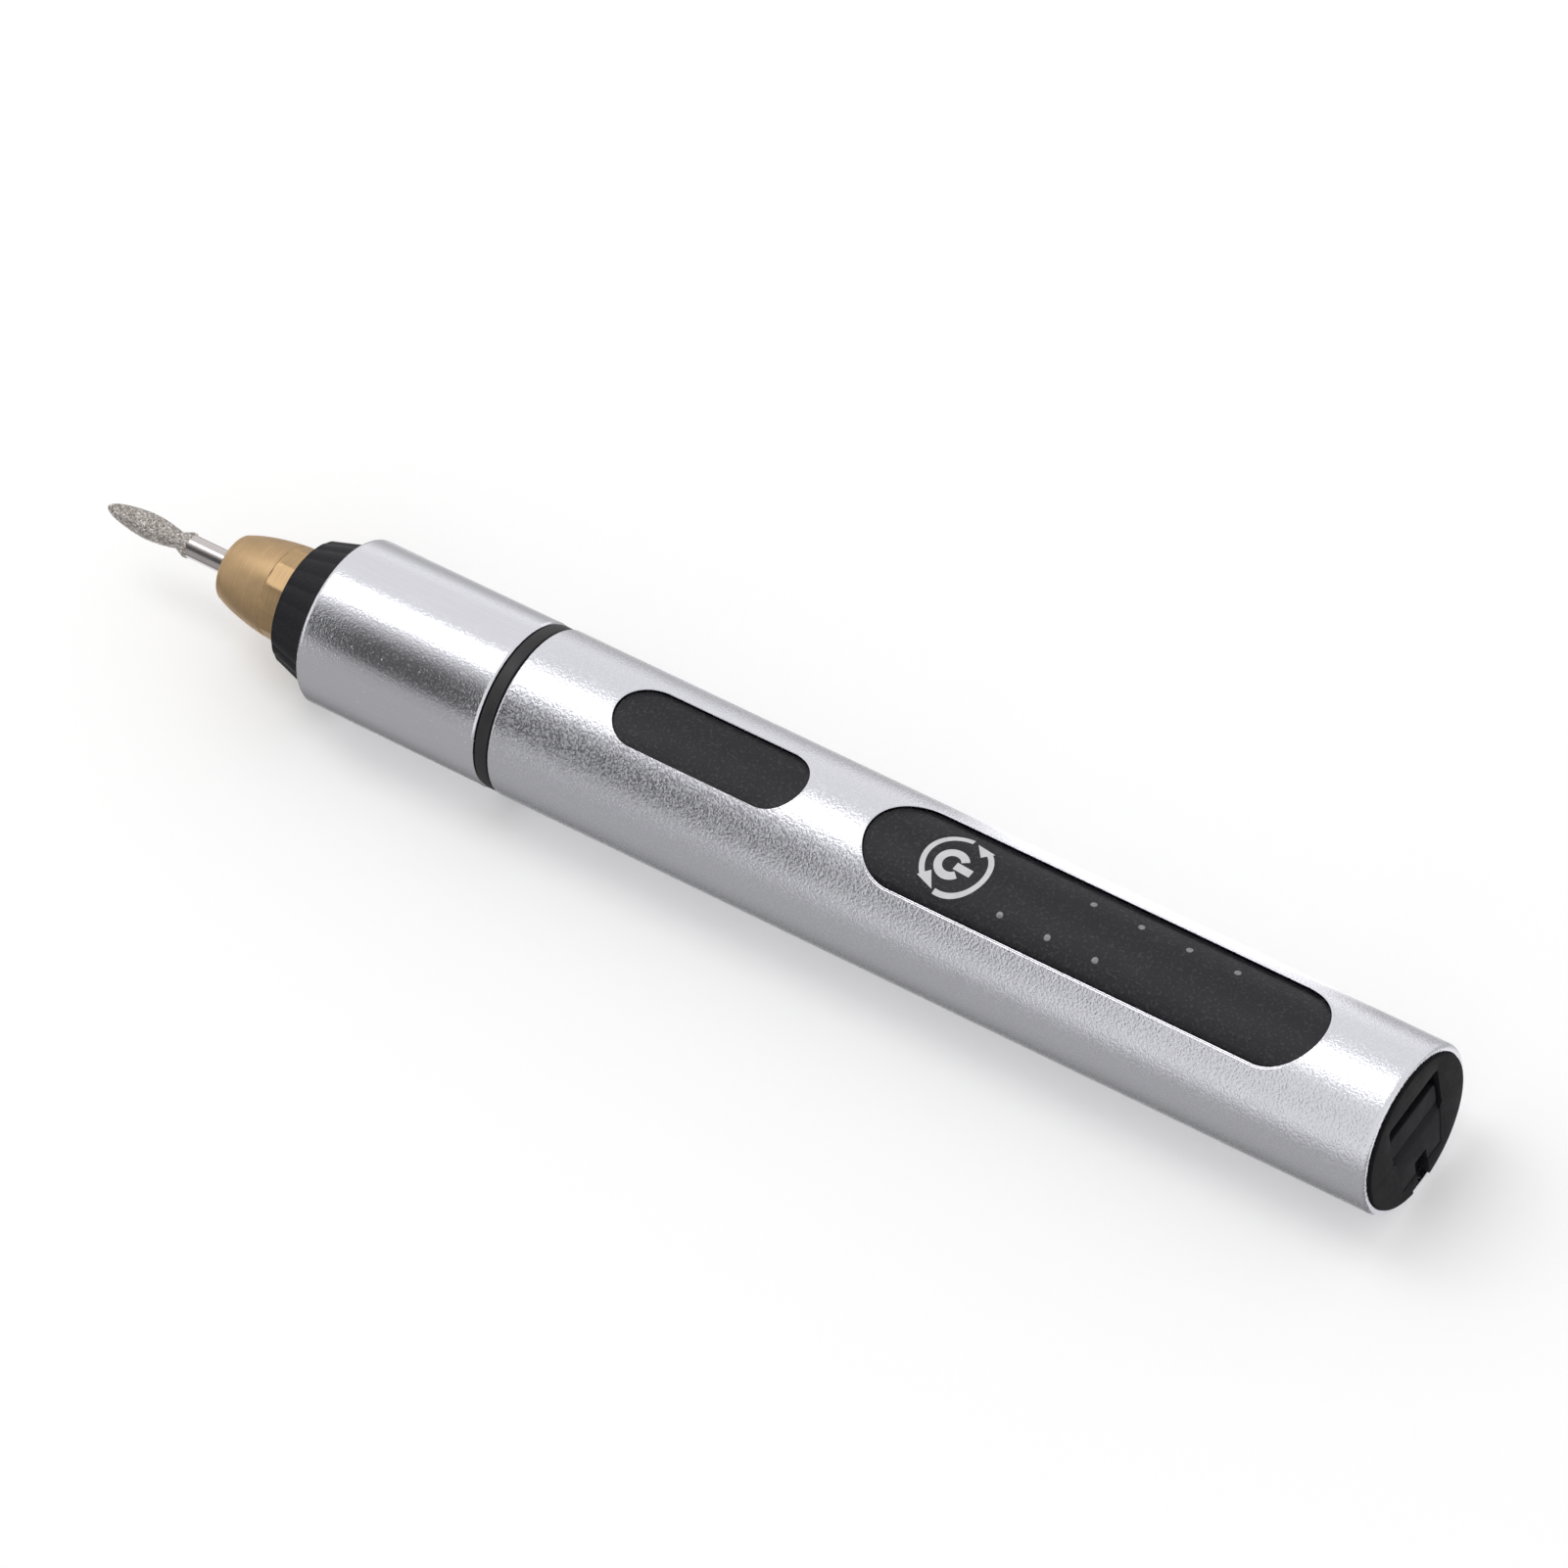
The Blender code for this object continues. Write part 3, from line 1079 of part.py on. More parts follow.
def build_collet(collet_axis):
    """A split collet: two crossed saw cuts make four jaws."""
    outer = COLLET_DIAMETER / 2
    nose = COLLET_NOSE_DIAMETER / 2
    cone = collet_front + NUT_CONE_LENGTH
    profile = [(collet_rear, shank_bore), (collet_rear, outer), (cone, outer), (collet_front, nose)]
    profile += [(collet_front, shank_bore)]
    collet = turned("collet", profile, collet_front, "polished steel", collet_axis, SMALL_SIDES)
    for number in range(COLLET_SLOTS):
        slot = block(
            f"collet_slot_{number}",
            (collet_front - OVERRUN, -COLLET_SLOT / 2, -COLLET_DIAMETER),
            (collet_front + COLLET_SLOT_LENGTH, COLLET_SLOT / 2, COLLET_DIAMETER),
            None, None, (collet_front, 0, 0),
        )
        turn_about_axis(slot, math.pi * number / COLLET_SLOTS)
        cut(collet, slot)


def nut_radius(share):
    """The ogive: how far out the nut is, from its front face at 0 to its rear at 1."""
    swell = math.sin(math.pi / 2 * share) ** NUT_CURVE_POWER if share > 0 else 0
    return (NUT_FRONT_DIAMETER + (NUT_REAR_DIAMETER - NUT_FRONT_DIAMETER) * swell) / 2


def build_nut(nut_axis):
    thread = SPINDLE_THREAD_DIAMETER / 2 + NUT_THREAD_GAP
    thread_end = thread_front - FIT_GAP
    cone_wide = COLLET_DIAMETER / 2 + FIT_GAP
    cone_narrow = COLLET_NOSE_DIAMETER / 2 + FIT_GAP
    mouth = shank_bore + SHANK_GAP
    face = NUT_FRONT_DIAMETER / 2 - NUT_FACE_EDGE
    profile = [(nut_front, mouth), (nut_front, face)]
    for step in range(NUT_CURVE_STEPS + 1):
        share = step / NUT_CURVE_STEPS
        along = max(share, NUT_FACE_EDGE / NUT_LENGTH)
        profile.append((nut_front + along * NUT_LENGTH, nut_radius(along)))
    profile += [(nut_rear, thread), (thread_end, thread), (thread_end, cone_wide)]
    profile += [(collet_front + NUT_CONE_LENGTH - FIT_GAP, cone_wide)]
    profile += [(collet_front - FIT_GAP, cone_narrow), (collet_front - FIT_GAP, mouth)]
    nut = turned("collet_nut", profile, nut_rear, "brass", nut_axis, ROUND_SIDES)
    apothem = NUT_REAR_DIAMETER / 2 - NUT_FLAT_DEPTH
    flats_front = nut_rear - NUT_FLAT_LENGTH
    corner = apothem / math.cos(math.pi / NUT_FLATS)
    band = pipe(nut_rear + OVERRUN, flats_front, NUT_REAR_DIAMETER, corner)
    flats = turned("nut_flats", band, nut_rear, None, None, NUT_FLATS)
    turn_about_axis(flats, NUT_FLAT_TURN)
    cut(nut, flats)


def head_radius(share):
    """The flame: swells from the neck to the belly, then runs in to the tip."""
    neck = NECK_DIAMETER / 2
    belly = HEAD_DIAMETER / 2
    tip = HEAD_TIP_DIAMETER / 2
    if share < HEAD_BELLY_SHARE:
        return neck + (belly - neck) * math.sin(math.pi / 2 * share / HEAD_BELLY_SHARE)
    run = (share - HEAD_BELLY_SHARE) / (1 - HEAD_BELLY_SHARE)
    return max(tip, belly * math.sqrt(max(0.0, 1 - run**1.5)))


def build_burr(burr_axis):
    """The shank runs in to a neck from its collar, and the coating starts halfway down that cone."""
    collar = BURR_COLLAR_DIAMETER / 2
    shank_rear = nut_front + SHANK_HIDDEN
    collar_rear = neck_rear + BURR_COLLAR_LENGTH
    coat_rear = neck_rear - NECK_LENGTH / 2
    coat_radius = (collar + NECK_DIAMETER / 2) / 2
    profile = [(shank_rear, 0), (shank_rear, shank_radius), (collar_rear, shank_radius)]
    profile += [(collar_rear - BURR_COLLAR_LENGTH / 2, collar), (neck_rear, collar)]
    profile += [(coat_rear, coat_radius), (coat_rear, 0)]
    turned("burr_shank", profile, nut_front, "polished steel", burr_axis, SMALL_SIDES, closed=False)
    coat_start = coat_rear - SEAT_GAP
    head_rear = neck_rear - NECK_LENGTH
    profile = [(coat_start, 0), (coat_start, coat_radius)]
    for step in range(HEAD_STEPS + 1):
        share = step / HEAD_STEPS
        profile.append((head_rear - share * HEAD_LENGTH, head_radius(share)))
    profile.append((head_rear - HEAD_LENGTH, 0))
    turned("burr_head", profile, nut_front, "diamond grit", burr_axis, SMALL_SIDES, closed=False)


def build_pen():
    clear_scene()
    pen = add_empty("pen", (0, 0, axis_height))
    build_tube(pen)
    build_joint_ring(pen)
    build_sleeve(pen)
    build_nose(pen)
    build_panels(pen)
    build_lamp_guides(pen)
    build_power_key(pen)
    build_switch(pen)
    build_board(pen)
    build_chassis(pen)
    build_cell(pen)
    build_leads(pen)
    build_tail_cap(pen)
    build_port_cover(pen)
    build_charging(pen)
    build_motor_casing(pen)
    build_magnets(pen)
    spin = add_empty("spindle_axis", (hub_front, 0, axis_height), pen)
    cages = add_empty("ball_cage_axis", (front_bearing_x, 0, axis_height), pen)
    comm_front, comm_rear = build_armature(spin)
    build_brushes(pen, comm_front, comm_rear)
    build_housing(pen)
    build_bearing("front_bearing", front_bearing_x, pen, spin, cages)
    build_bearing("rear_bearing", rear_bearing_x, pen, spin, cages)
    build_spindle(spin)
    build_coupling(spin)
    collet_axis = add_empty("collet_axis", (collet_front, 0, axis_height), spin)
    build_collet(collet_axis)
    build_nut(add_empty("nut_axis", (nut_rear, 0, axis_height), collet_axis))
    build_burr(add_empty("burr_axis", (nut_front, 0, axis_height), collet_axis))


build_pen()
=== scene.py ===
# The looks of the engraving pen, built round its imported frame.
# Lengths in the dictionaries are millimetres. The pen lies along X with its panel up.

import json
import math
import random

import bmesh
import bpy
from mathutils import Matrix, Vector


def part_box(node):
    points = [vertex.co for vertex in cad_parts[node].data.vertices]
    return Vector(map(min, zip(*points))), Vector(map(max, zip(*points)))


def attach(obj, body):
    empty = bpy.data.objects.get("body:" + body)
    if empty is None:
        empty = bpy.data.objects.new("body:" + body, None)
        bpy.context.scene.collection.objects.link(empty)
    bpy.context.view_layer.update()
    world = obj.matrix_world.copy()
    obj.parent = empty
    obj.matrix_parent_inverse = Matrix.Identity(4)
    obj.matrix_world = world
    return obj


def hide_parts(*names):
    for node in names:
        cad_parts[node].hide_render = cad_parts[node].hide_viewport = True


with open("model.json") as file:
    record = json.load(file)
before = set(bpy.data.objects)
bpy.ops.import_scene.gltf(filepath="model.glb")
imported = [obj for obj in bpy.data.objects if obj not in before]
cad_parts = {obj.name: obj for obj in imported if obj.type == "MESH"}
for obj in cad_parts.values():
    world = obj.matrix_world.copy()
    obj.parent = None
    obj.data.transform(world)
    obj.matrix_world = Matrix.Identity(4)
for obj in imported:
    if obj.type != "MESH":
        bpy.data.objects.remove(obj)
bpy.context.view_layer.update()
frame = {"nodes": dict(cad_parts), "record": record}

mm = 0.001
perMm = 1 / mm
hair = 0.001 * mm        # points closer than this count as one
cadFacets = 32           # the round CAD shells have this many sides
facetShare = math.cos(math.pi / cadFacets)

tubeLow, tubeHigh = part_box("body_tube")
sleeveLow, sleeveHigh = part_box("front_sleeve")
noseLow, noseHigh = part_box("nose_collar")
nutLow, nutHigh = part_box("collet_nut")
capLow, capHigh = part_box("tail_cap")
axisZ = (tubeLow.z + tubeHigh.z) / 2
tubeRadius = tubeHigh.y / facetShare
keyX = (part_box("switch_body")[0].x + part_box("switch_body")[1].x) / 2


# Mesh helpers

def inMetres(values):
    return [value * mm for value in values]


def sized(values, *names):
    return inMetres(values[name] for name in names)


def shadeMesh(mesh, sharpAngle):
    mesh.shade_smooth()
    mesh.set_sharp_from_angle(angle=math.radians(sharpAngle))


def addPiece(name, bm, material=None, sharpAngle=32):
    bmesh.ops.recalc_face_normals(bm, faces=bm.faces)
    mesh = bpy.data.meshes.new(name)
    bm.to_mesh(mesh)
    bm.free()
    shadeMesh(mesh, sharpAngle)
    piece = bpy.data.objects.new(name, mesh)
    bpy.context.scene.collection.objects.link(piece)
    if material:
        mesh.materials.append(material)
    return piece


def roundedCorner(x, radius, size, startDegrees, endDegrees, steps=6):
    points = []
    for step in range(steps + 1):
        turn = math.radians(startDegrees + (endDegrees - startDegrees) * step / steps)
        points.append((x + size * math.cos(turn), radius + size * math.sin(turn)))
    return points


def joinRings(bm, first, second):
    if len(first) == 1 and len(second) == 1:
        return
    count = max(len(first), len(second))
    for step in range(count):
        following = (step + 1) % count
        corners = [first[step % len(first)]]
        if len(first) > 1:
            corners.append(first[following])
        if len(second) > 1:
            corners.append(second[following])
        corners.append(second[step % len(second)])
        bm.faces.new(corners)


def turnedPiece(name, profile, sides=160, closed=True, shapeAt=None, sharpAngle=32):
    # The profile is (x, radius) pairs. shapeAt may change a radius by its place round the axis.
    bm = bmesh.new()
    rings = []
    for x, radius in profile:
        if radius <= 0:
            rings.append([bm.verts.new((x, 0, axisZ))])
            continue
        ring = []
        for step in range(sides):
            turn = math.tau * step / sides
            reach = shapeAt(x, radius, turn) if shapeAt else radius
            ring.append(bm.verts.new((x, reach * math.sin(turn), axisZ + reach * math.cos(turn))))
        rings.append(ring)
    for first, second in zip(rings, rings[1:]):
        joinRings(bm, first, second)
    if closed:
        joinRings(bm, rings[-1], rings[0])
    return addPiece(name, bm, None, sharpAngle)


def barrel(rear, front, radius, rearEdge, frontEdge, steps=6):
    # The outside of a tube from its rear rounding to its front rounding.
    return (roundedCorner(rear - rearEdge, radius - rearEdge, rearEdge, 0, 90, steps)
            + roundedCorner(front + frontEdge, radius - frontEdge, frontEdge, 90, 180, steps))


def stadiumOutline(rear, front, halfWidth, steps=40):
    return (roundedCorner(rear - halfWidth, 0, halfWidth, -90, 90, steps)
            + roundedCorner(front + halfWidth, 0, halfWidth, 90, 270, steps))


def circleOutline(x, y, radius, sides=96):
    return roundedCorner(x, y, radius, 0, 360, sides)[:-1]


def roundBoxOutline(half, low, high, corner, place=0):
    left, right = place - half + corner, place + half - corner
    points = []
    for x, y, start in ((right, high - corner, 0), (left, high - corner, 90),
                        (left, low + corner, 180), (right, low + corner, 270)):
        points += roundedCorner(x, y, corner, start, start + 90, 5)
    return points


def prism(name, outline, low, high, along):
    # Outlines are (x, y) for a prism along Z, (y, height over the axis) for X and (x, height) for Y.
    bm = bmesh.new()
    places = {"X": lambda a, b, level: (level, a, axisZ + b),
              "Y": lambda a, b, level: (a, level, axisZ + b),
              "Z": lambda a, b, level: (a, b, level)}
    ends = [[bm.verts.new(places[along](a, b, level)) for a, b in outline] for level in (low, high)]
    bm.faces.new(ends[0])
    bm.faces.new(list(reversed(ends[1])))
    joinRings(bm, ends[0], ends[1])
    return addPiece(name, bm)


def settle(piece, sharpAngle=32):
    # Turns what the modifiers give into the piece's own mesh.
    graph = bpy.context.evaluated_depsgraph_get()
    graph.update()
    mesh = bpy.data.meshes.new_from_object(piece.evaluated_get(graph))
    piece.modifiers.clear()
    piece.data = mesh
    shadeMesh(mesh, sharpAngle)


def carve(piece, cutters):
    for cutter in cutters:
        modifier = piece.modifiers.new("carve", "BOOLEAN")
        modifier.operation = "DIFFERENCE"
        modifier.object = cutter
        modifier.solver = "EXACT"
    settle(piece)
    for cutter in cutters:
        bpy.data.objects.remove(cutter, do_unlink=True)


def soften(piece, width, segments=3):
    modifier = piece.modifiers.new("soften", "BEVEL")
    modifier.width = width
    modifier.segments = segments
    modifier.limit_method = "ANGLE"
    modifier.angle_limit = math.radians(50)
    modifier.use_clamp_overlap = True
    settle(piece, 40)


def roundNormals(piece, radius):
    # Cutting leaves long faces on a round skin, so its shading is set to the true curve.
    mesh = piece.data
    normals = []
    for face in mesh.polygons:
        corners = [mesh.vertices[number].co for number in face.vertices]
        outs = [Vector((0, corner.y, corner.z - axisZ)) for corner in corners]
        onSkin = all(abs(out.length - radius) < 4 * hair for out in outs)
        for out in outs:
            normals.append(out.normalized() if onSkin else Vector())
    mesh.normals_split_custom_set(normals)


def bentPlate(name, rear, front, halfWidth, topRadius, thickness, edge, steps=64):
    # A slot-shaped or round plate bent round the pen's axis, in rows along the pen.
    bm = bmesh.new()

    def layer(inset, radius):
        rows = []
        for bulge, y in roundedCorner(0, 0, halfWidth - inset, -90, 90, steps):
            z = axisZ + math.sqrt(radius**2 - y**2)
            rows.append((bm.verts.new((front + halfWidth - bulge, y, z)),
                         bm.verts.new((rear - halfWidth + bulge, y, z))))
        return rows

    layers = [layer(edge, topRadius), layer(0, topRadius - edge), layer(0, topRadius - thickness)]
    for rows in (layers[0], layers[-1]):
        for row, following in zip(rows, rows[1:]):
            bm.faces.new((row[0], following[0], following[1], row[1]))
    loops = [[row[0] for row in rows] + [row[1] for row in reversed(rows)] for rows in layers]
    for first, second in zip(loops, loops[1:]):
        joinRings(bm, first, second)
    bmesh.ops.remove_doubles(bm, verts=bm.verts, dist=hair)
    return addPiece(name, bm)


def finishOf(slot):
    # A finish has its slot's name, run together.
    first, *rest = slot.split("_")
    return finishes[first + "".join(word.title() for word in rest)]


def dress(piece, body, slot, *nodes, finish=None):
    piece.data.materials.append(finishes[finish] if finish else finishOf(slot))
    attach(piece, body)
    if nodes:
        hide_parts(*nodes)
    return piece


# Shader groups

groups = {}


def newGroup(name, inputs, outputs):
    group = groups[name] = bpy.data.node_groups.new(name, "ShaderNodeTree")
    for title, kind, value in inputs:
        socket = group.interface.new_socket(name=title, in_out="INPUT", socket_type="NodeSocket" + kind)
        if value is not None:
            socket.default_value = value
    for title, kind in outputs:
        group.interface.new_socket(name=title, in_out="OUTPUT", socket_type="NodeSocket" + kind)
    start = group.nodes.new("NodeGroupInput")
    end = group.nodes.new("NodeGroupOutput")
    return group, start.outputs, end.inputs


def feed(tree, socket, value):
    # A socket takes another node's output or a plain value. Colours are written without their alpha.
    if isinstance(value, bpy.types.NodeSocket):
        tree.links.new(value, socket)
    else:
        socket.default_value = (*value, 1) if socket.type == "RGBA" else value


def node(tree, kind, given=None, **settings):
    # Settings come first, because some of them decide which inputs the node has.
    made = tree.nodes.new("ShaderNode" + kind)
    for name, value in settings.items():
        setattr(made, name, value)
    for socket, value in (given or {}).items():
        feed(tree, made.inputs[socket], value)
    return made


def calc(tree, operation, first, second=0.0):
    return node(tree, "Math", {0: first, 1: second}, operation=operation).outputs[0]


def times(tree, first, second):
    return calc(tree, "MULTIPLY", first, second)


def remap(tree, *ends):
    # The ends are the value, its low and high, and the low and high that it becomes: 0 and 1 if not given.
    ends = (*ends, 0.0, 1.0)[:5]
    return node(tree, "MapRange", dict(enumerate(ends))).outputs["Result"]


def noise(tree, place, scale, detail=2.0, roughness=0.5):
    given = {"Vector": place, "Scale": scale, "Detail": detail, "Roughness": roughness}
    return node(tree, "TexNoise", given).outputs["Fac"]


def stretched(tree, place, factors):
    return node(tree, "VectorMath", {0: place, 1: factors}, operation="MULTIPLY").outputs["Vector"]


def blendColour(tree, factor, first, second):
    return node(tree, "Mix", {0: factor, 6: first, 7: second}, data_type="RGBA").outputs[2]


def separated(tree, kind, value):
    return node(tree, "Separate" + kind, {0: value}).outputs


effects = {
    "patch mask": (0.34, 0.66),
    "coarse grain": 0.86,
    "fine grain": 0.14,
    "fine grain scale": 2.7,
    "bright grain span": 0.08,
    "ring sway scale": 700.0,
    "ring mask": (0.4, 0.62),
}


def buildPatchyTone():
    # Soft patches, as a mask and as a level between two values.
    group, given, out = newGroup(
        "patchyTone", [("Place", "Vector", None), ("Scale", "Float", 100.0), ("Low", "Float", 0.3),
                       ("High", "Float", 0.5)], [("Mask", "Float"), ("Level", "Float")])
    patches = noise(group, given["Place"], given["Scale"], 3.0, 0.6)
    mask = remap(group, patches, *effects["patch mask"])
    feed(group, out["Mask"], mask)
    feed(group, out["Level"], remap(group, mask, 0.0, 1.0, given["Low"], given["High"]))


def buildBlastedGrain():
    # The fine pitted grain of a blasted or moulded skin, with its bright grains as a mask.
    group, given, out = newGroup(
        "blastedGrain", [("Place", "Vector", None), ("Scale", "Float", 5000.0), ("Sparkle", "Float", 0.64)],
        [("Height", "Float"), ("Bright", "Float")])
    coarse = noise(group, given["Place"], given["Scale"], 2.0, 0.6)
    fineScale = times(group, given["Scale"], effects["fine grain scale"])
    fine = noise(group, given["Place"], fineScale, 1.0, 0.5)
    coarsePart = times(group, coarse, effects["coarse grain"])
    finePart = times(group, fine, effects["fine grain"])
    feed(group, out["Height"], calc(group, "ADD", coarsePart, finePart))
    top = calc(group, "ADD", given["Sparkle"], effects["bright grain span"])
    feed(group, out["Bright"], remap(group, coarse, given["Sparkle"], top))


def buildTurningRings():
    # Fine rings round the pen's axis, as a lathe tool leaves them.
    group, given, out = newGroup(
        "turningRings", [("Place", "Vector", None), ("Scale", "Float", 9000.0),
                         ("Waver", "Float", 0.02 * mm)], [("Height", "Float"), ("Mask", "Float")])
    sway = times(group, noise(group, given["Place"], effects["ring sway scale"], 1.0), given["Waver"])
    shifted = calc(group, "ADD", separated(group, "XYZ", given["Place"])["X"], sway)
    settings = {"W": shifted, "Scale": given["Scale"], "Detail": 3.0, "Roughness": 0.65}
    rings = node(group, "TexNoise", settings, noise_dimensions="1D").outputs["Fac"]
    feed(group, out["Height"], rings)
    feed(group, out["Mask"], remap(group, rings, *effects["ring mask"]))


def buildDustFlecks():
    # Sparse small flecks: dust on plastics, or short scratches where the place is stretched.
    group, given, out = newGroup(
        "dustFlecks", [("Place", "Vector", None), ("Scale", "Float", 900.0), ("Size", "Float", 0.1),
                       ("Share", "Float", 0.1)], [("Mask", "Float")])
    cells = node(group, "TexVoronoi", {"Vector": given["Place"], "Scale": given["Scale"]}).outputs
    near = calc(group, "LESS_THAN", cells["Distance"], given["Size"])
    picked = calc(group, "LESS_THAN", separated(group, "Color", cells["Color"])[0], given["Share"])
    feed(group, out["Mask"], times(group, near, picked))


for build in (buildPatchyTone, buildBlastedGrain, buildTurningRings, buildDustFlecks):
    build()
print("shader groups ready")


# Finishes

finishes = {}


def startMaterial(name, metallic):
    material = finishes[name] = bpy.data.materials.new(name)
    material.use_nodes = True
    tree = material.node_tree
    shader = tree.nodes["Principled BSDF"]
    shader.inputs["Metallic"].default_value = metallic
    shader.inputs["IOR"].default_value = 1.5
    place = node(tree, "TexCoord").outputs["Object"]
    return tree, shader, place


def useGroup(tree, groupName, place, **values):
    return node(tree, "Group", {"Place": place, **values}, node_tree=groups[groupName]).outputs


def patchy(tree, place, look):
    low, high = look["roughness"]
    return useGroup(tree, "patchyTone", place, Scale=perMm / look["patch"], Low=low, High=high)


def flecks(tree, place, spacing, radius, share):
    return useGroup(tree, "dustFlecks", place, Scale=perMm / spacing, Size=radius, Share=share)["Mask"]


def finishSkin(tree, shader, colour, rough, *bumps):
    # Bumps are (height, depth) pairs, each laid over the one before.
    feed(tree, shader.inputs["Base Color"], colour)
    feed(tree, shader.inputs["Roughness"], rough)
    before = {}
    for height, depth in bumps:
        given = {"Strength": 1.0, "Distance": depth * mm, "Height": height, **before}
        before = {"Normal": node(tree, "Bump", given).outputs["Normal"]}
    feed(tree, shader.inputs["Normal"], before["Normal"])


tubeFinish = {
    "metal": (0.815, 0.815, 0.875),
    "bright grain": (0.85, 0.85, 0.905),
    "grain size": 0.25,
    "grain depth": 0.055,
    "grain roughness": 0.18,
    "sparkle": 0.48,
    "roughness": (0.10, 0.14),
    "patch": 9.0,
}


def satinAluminium():
    look = tubeFinish
    tree, shader, place = startMaterial("satinAluminium", 1.0)
    grain = useGroup(tree, "blastedGrain", place, Scale=perMm / look["grain size"], Sparkle=look["sparkle"])
    colour = blendColour(tree, grain["Bright"], look["metal"], look["bright grain"])
    rough = times(tree, grain["Bright"], look["grain roughness"])
    rough = calc(tree, "ADD", patchy(tree, place, look)["Level"], rough)
    finishSkin(tree, shader, colour, rough, (grain["Height"], look["grain depth"]))


# Streak and scratch stretch their pattern along the pen. Flecks are (spacing, radius, share).
sleeveFinish = {
    "metal": (0.835, 0.835, 0.892),
    "pale streak": (0.857, 0.857, 0.910),
    "streak": (0.10, 1.0, 1.0),
    "streak size": 0.35,
    "streak depth": 0.0005,
    "streak mask": (0.38, 0.66),
    "grain size": 0.24,
    "grain depth": 0.028,
    "grain roughness": 0.13,
    "sparkle": 0.56,
    "scratch": (0.12, 1.0, 1.0),
    "scratches": (1 / 0.9, 0.045, 0.22),
    "scratch roughness": 0.16,
    "specks": (0.9, 0.08, 0.9),
    "speck roughness": 0.80,
    "roughness": (0.105, 0.14),
    "patch": 7.0,
}


def smoothAluminium():
    look = sleeveFinish
    tree, shader, place = startMaterial("smoothAluminium", 1.0)
    streaks = noise(tree, stretched(tree, place, look["streak"]), perMm / look["streak size"], 3.0, 0.6)
    mask = remap(tree, streaks, *look["streak mask"])
    grain = useGroup(tree, "blastedGrain", place, Scale=perMm / look["grain size"], Sparkle=look["sparkle"])
    scratches = flecks(tree, stretched(tree, place, look["scratch"]), *look["scratches"])
    specks = flecks(tree, place, *look["specks"])
    colour = blendColour(tree, mask, look["metal"], look["pale streak"])
    rough = patchy(tree, place, look)["Level"]
    for mask, part in ((scratches, "scratch"), (specks, "speck"), (grain["Bright"], "grain")):
        rough = calc(tree, "ADD", rough, times(tree, mask, look[part + " roughness"]))
    finishSkin(tree, shader, colour, rough,
               (streaks, look["streak depth"]), (grain["Height"], look["grain depth"]))


def recipe(dark, light, roughness, grain, patch, **extras):
    # The two ends of a soft mottle, the roughness, the size and depth of the grain, and the patch size.
    return {"colours": (dark, light), "roughness": roughness, "grain": grain, "patch": patch, **extras}


plainFinishes = {
    "blackPlastic": recipe(
        (0.0034, 0.0035, 0.006), (0.0056, 0.0057, 0.0088), (0.42, 0.52), (0.28, 0.05), 2.5,
        specular=0.27, speckle=(0.0095, 0.0095, 0.0125), dust=(0.09, 0.09, 0.095), share=0.04),
    "ringPlastic": recipe(
        (0.0125, 0.0125, 0.0145), (0.019, 0.019, 0.021), (0.44, 0.56), (0.13, 0.004), 2.5),
    "capPlastic": recipe(
        (0.002, 0.002, 0.0034), (0.0034, 0.0034, 0.0052), (0.64, 0.74), (0.28, 0.04), 2.5,
        specular=0.2, speckle=(0.0075, 0.0075, 0.01)),
    "charcoalFilm": recipe(
        (0.0054, 0.005, 0.009), (0.0076, 0.0071, 0.0118), (0.46, 0.54), (0.3, 0.075), 3.0,
        specular=0.4, speckle=(0.029, 0.028, 0.034), dust=(0.08, 0.08, 0.085), share=0.02),
    "blackRubber": recipe(
        (0.005, 0.0048, 0.0068), (0.008, 0.0076, 0.01), (0.64, 0.74), (0.26, 0.03), 1.6,
        specular=0.22, dust=(0.1, 0.1, 0.105), share=0.05),
    "greyPlastic": recipe((0.27, 0.28, 0.3), (0.33, 0.34, 0.36), (0.48, 0.6), (0.2, 0.005), 3.0),
    "brightSteel": recipe(
        (0.58, 0.58, 0.59), (0.66, 0.66, 0.67), (0.24, 0.36), (0.15, 0.003), 2.0, metallic=1),
    "nickel": recipe((0.62, 0.6, 0.56), (0.7, 0.68, 0.64), (0.22, 0.34), (0.15, 0.002), 1.5, metallic=1),
    "copper": recipe((0.55, 0.22, 0.09), (0.7, 0.33, 0.16), (0.28, 0.42), (0.12, 0.006), 1.0, metallic=1),
    "magnet": recipe(
        (0.06, 0.06, 0.065), (0.09, 0.09, 0.095), (0.52, 0.68), (0.18, 0.008), 1.5, metallic=0.3),
    "greenBoard": recipe((0.014, 0.1, 0.045), (0.026, 0.15, 0.07), (0.34, 0.5), (0.4, 0.004), 1.2),
    "cellWrap": recipe((0.024, 0.1, 0.32), (0.036, 0.14, 0.4), (0.28, 0.42), (0.6, 0.004), 4.0),
    "redLead": recipe((0.44, 0.02, 0.015), (0.56, 0.04, 0.03), (0.4, 0.52), (0.15, 0.003), 1.0),
    "blackLead": recipe((0.016, 0.016, 0.016), (0.026, 0.026, 0.026), (0.4, 0.52), (0.15, 0.003), 1.0),
    "clearGuide": recipe((0.16, 0.16, 0.17), (0.27, 0.27, 0.28), (0.2, 0.32), (0.2, 0.003), 0.4),
    "whitePrint": recipe((0.61, 0.61, 0.63), (0.68, 0.68, 0.7), (0.5, 0.62), (0.22, 0.006), 0.8),
}
plainExtras = {"sparkle": 0.56, "fleck spacing": 1 / 1.1, "fleck radius": 0.07}


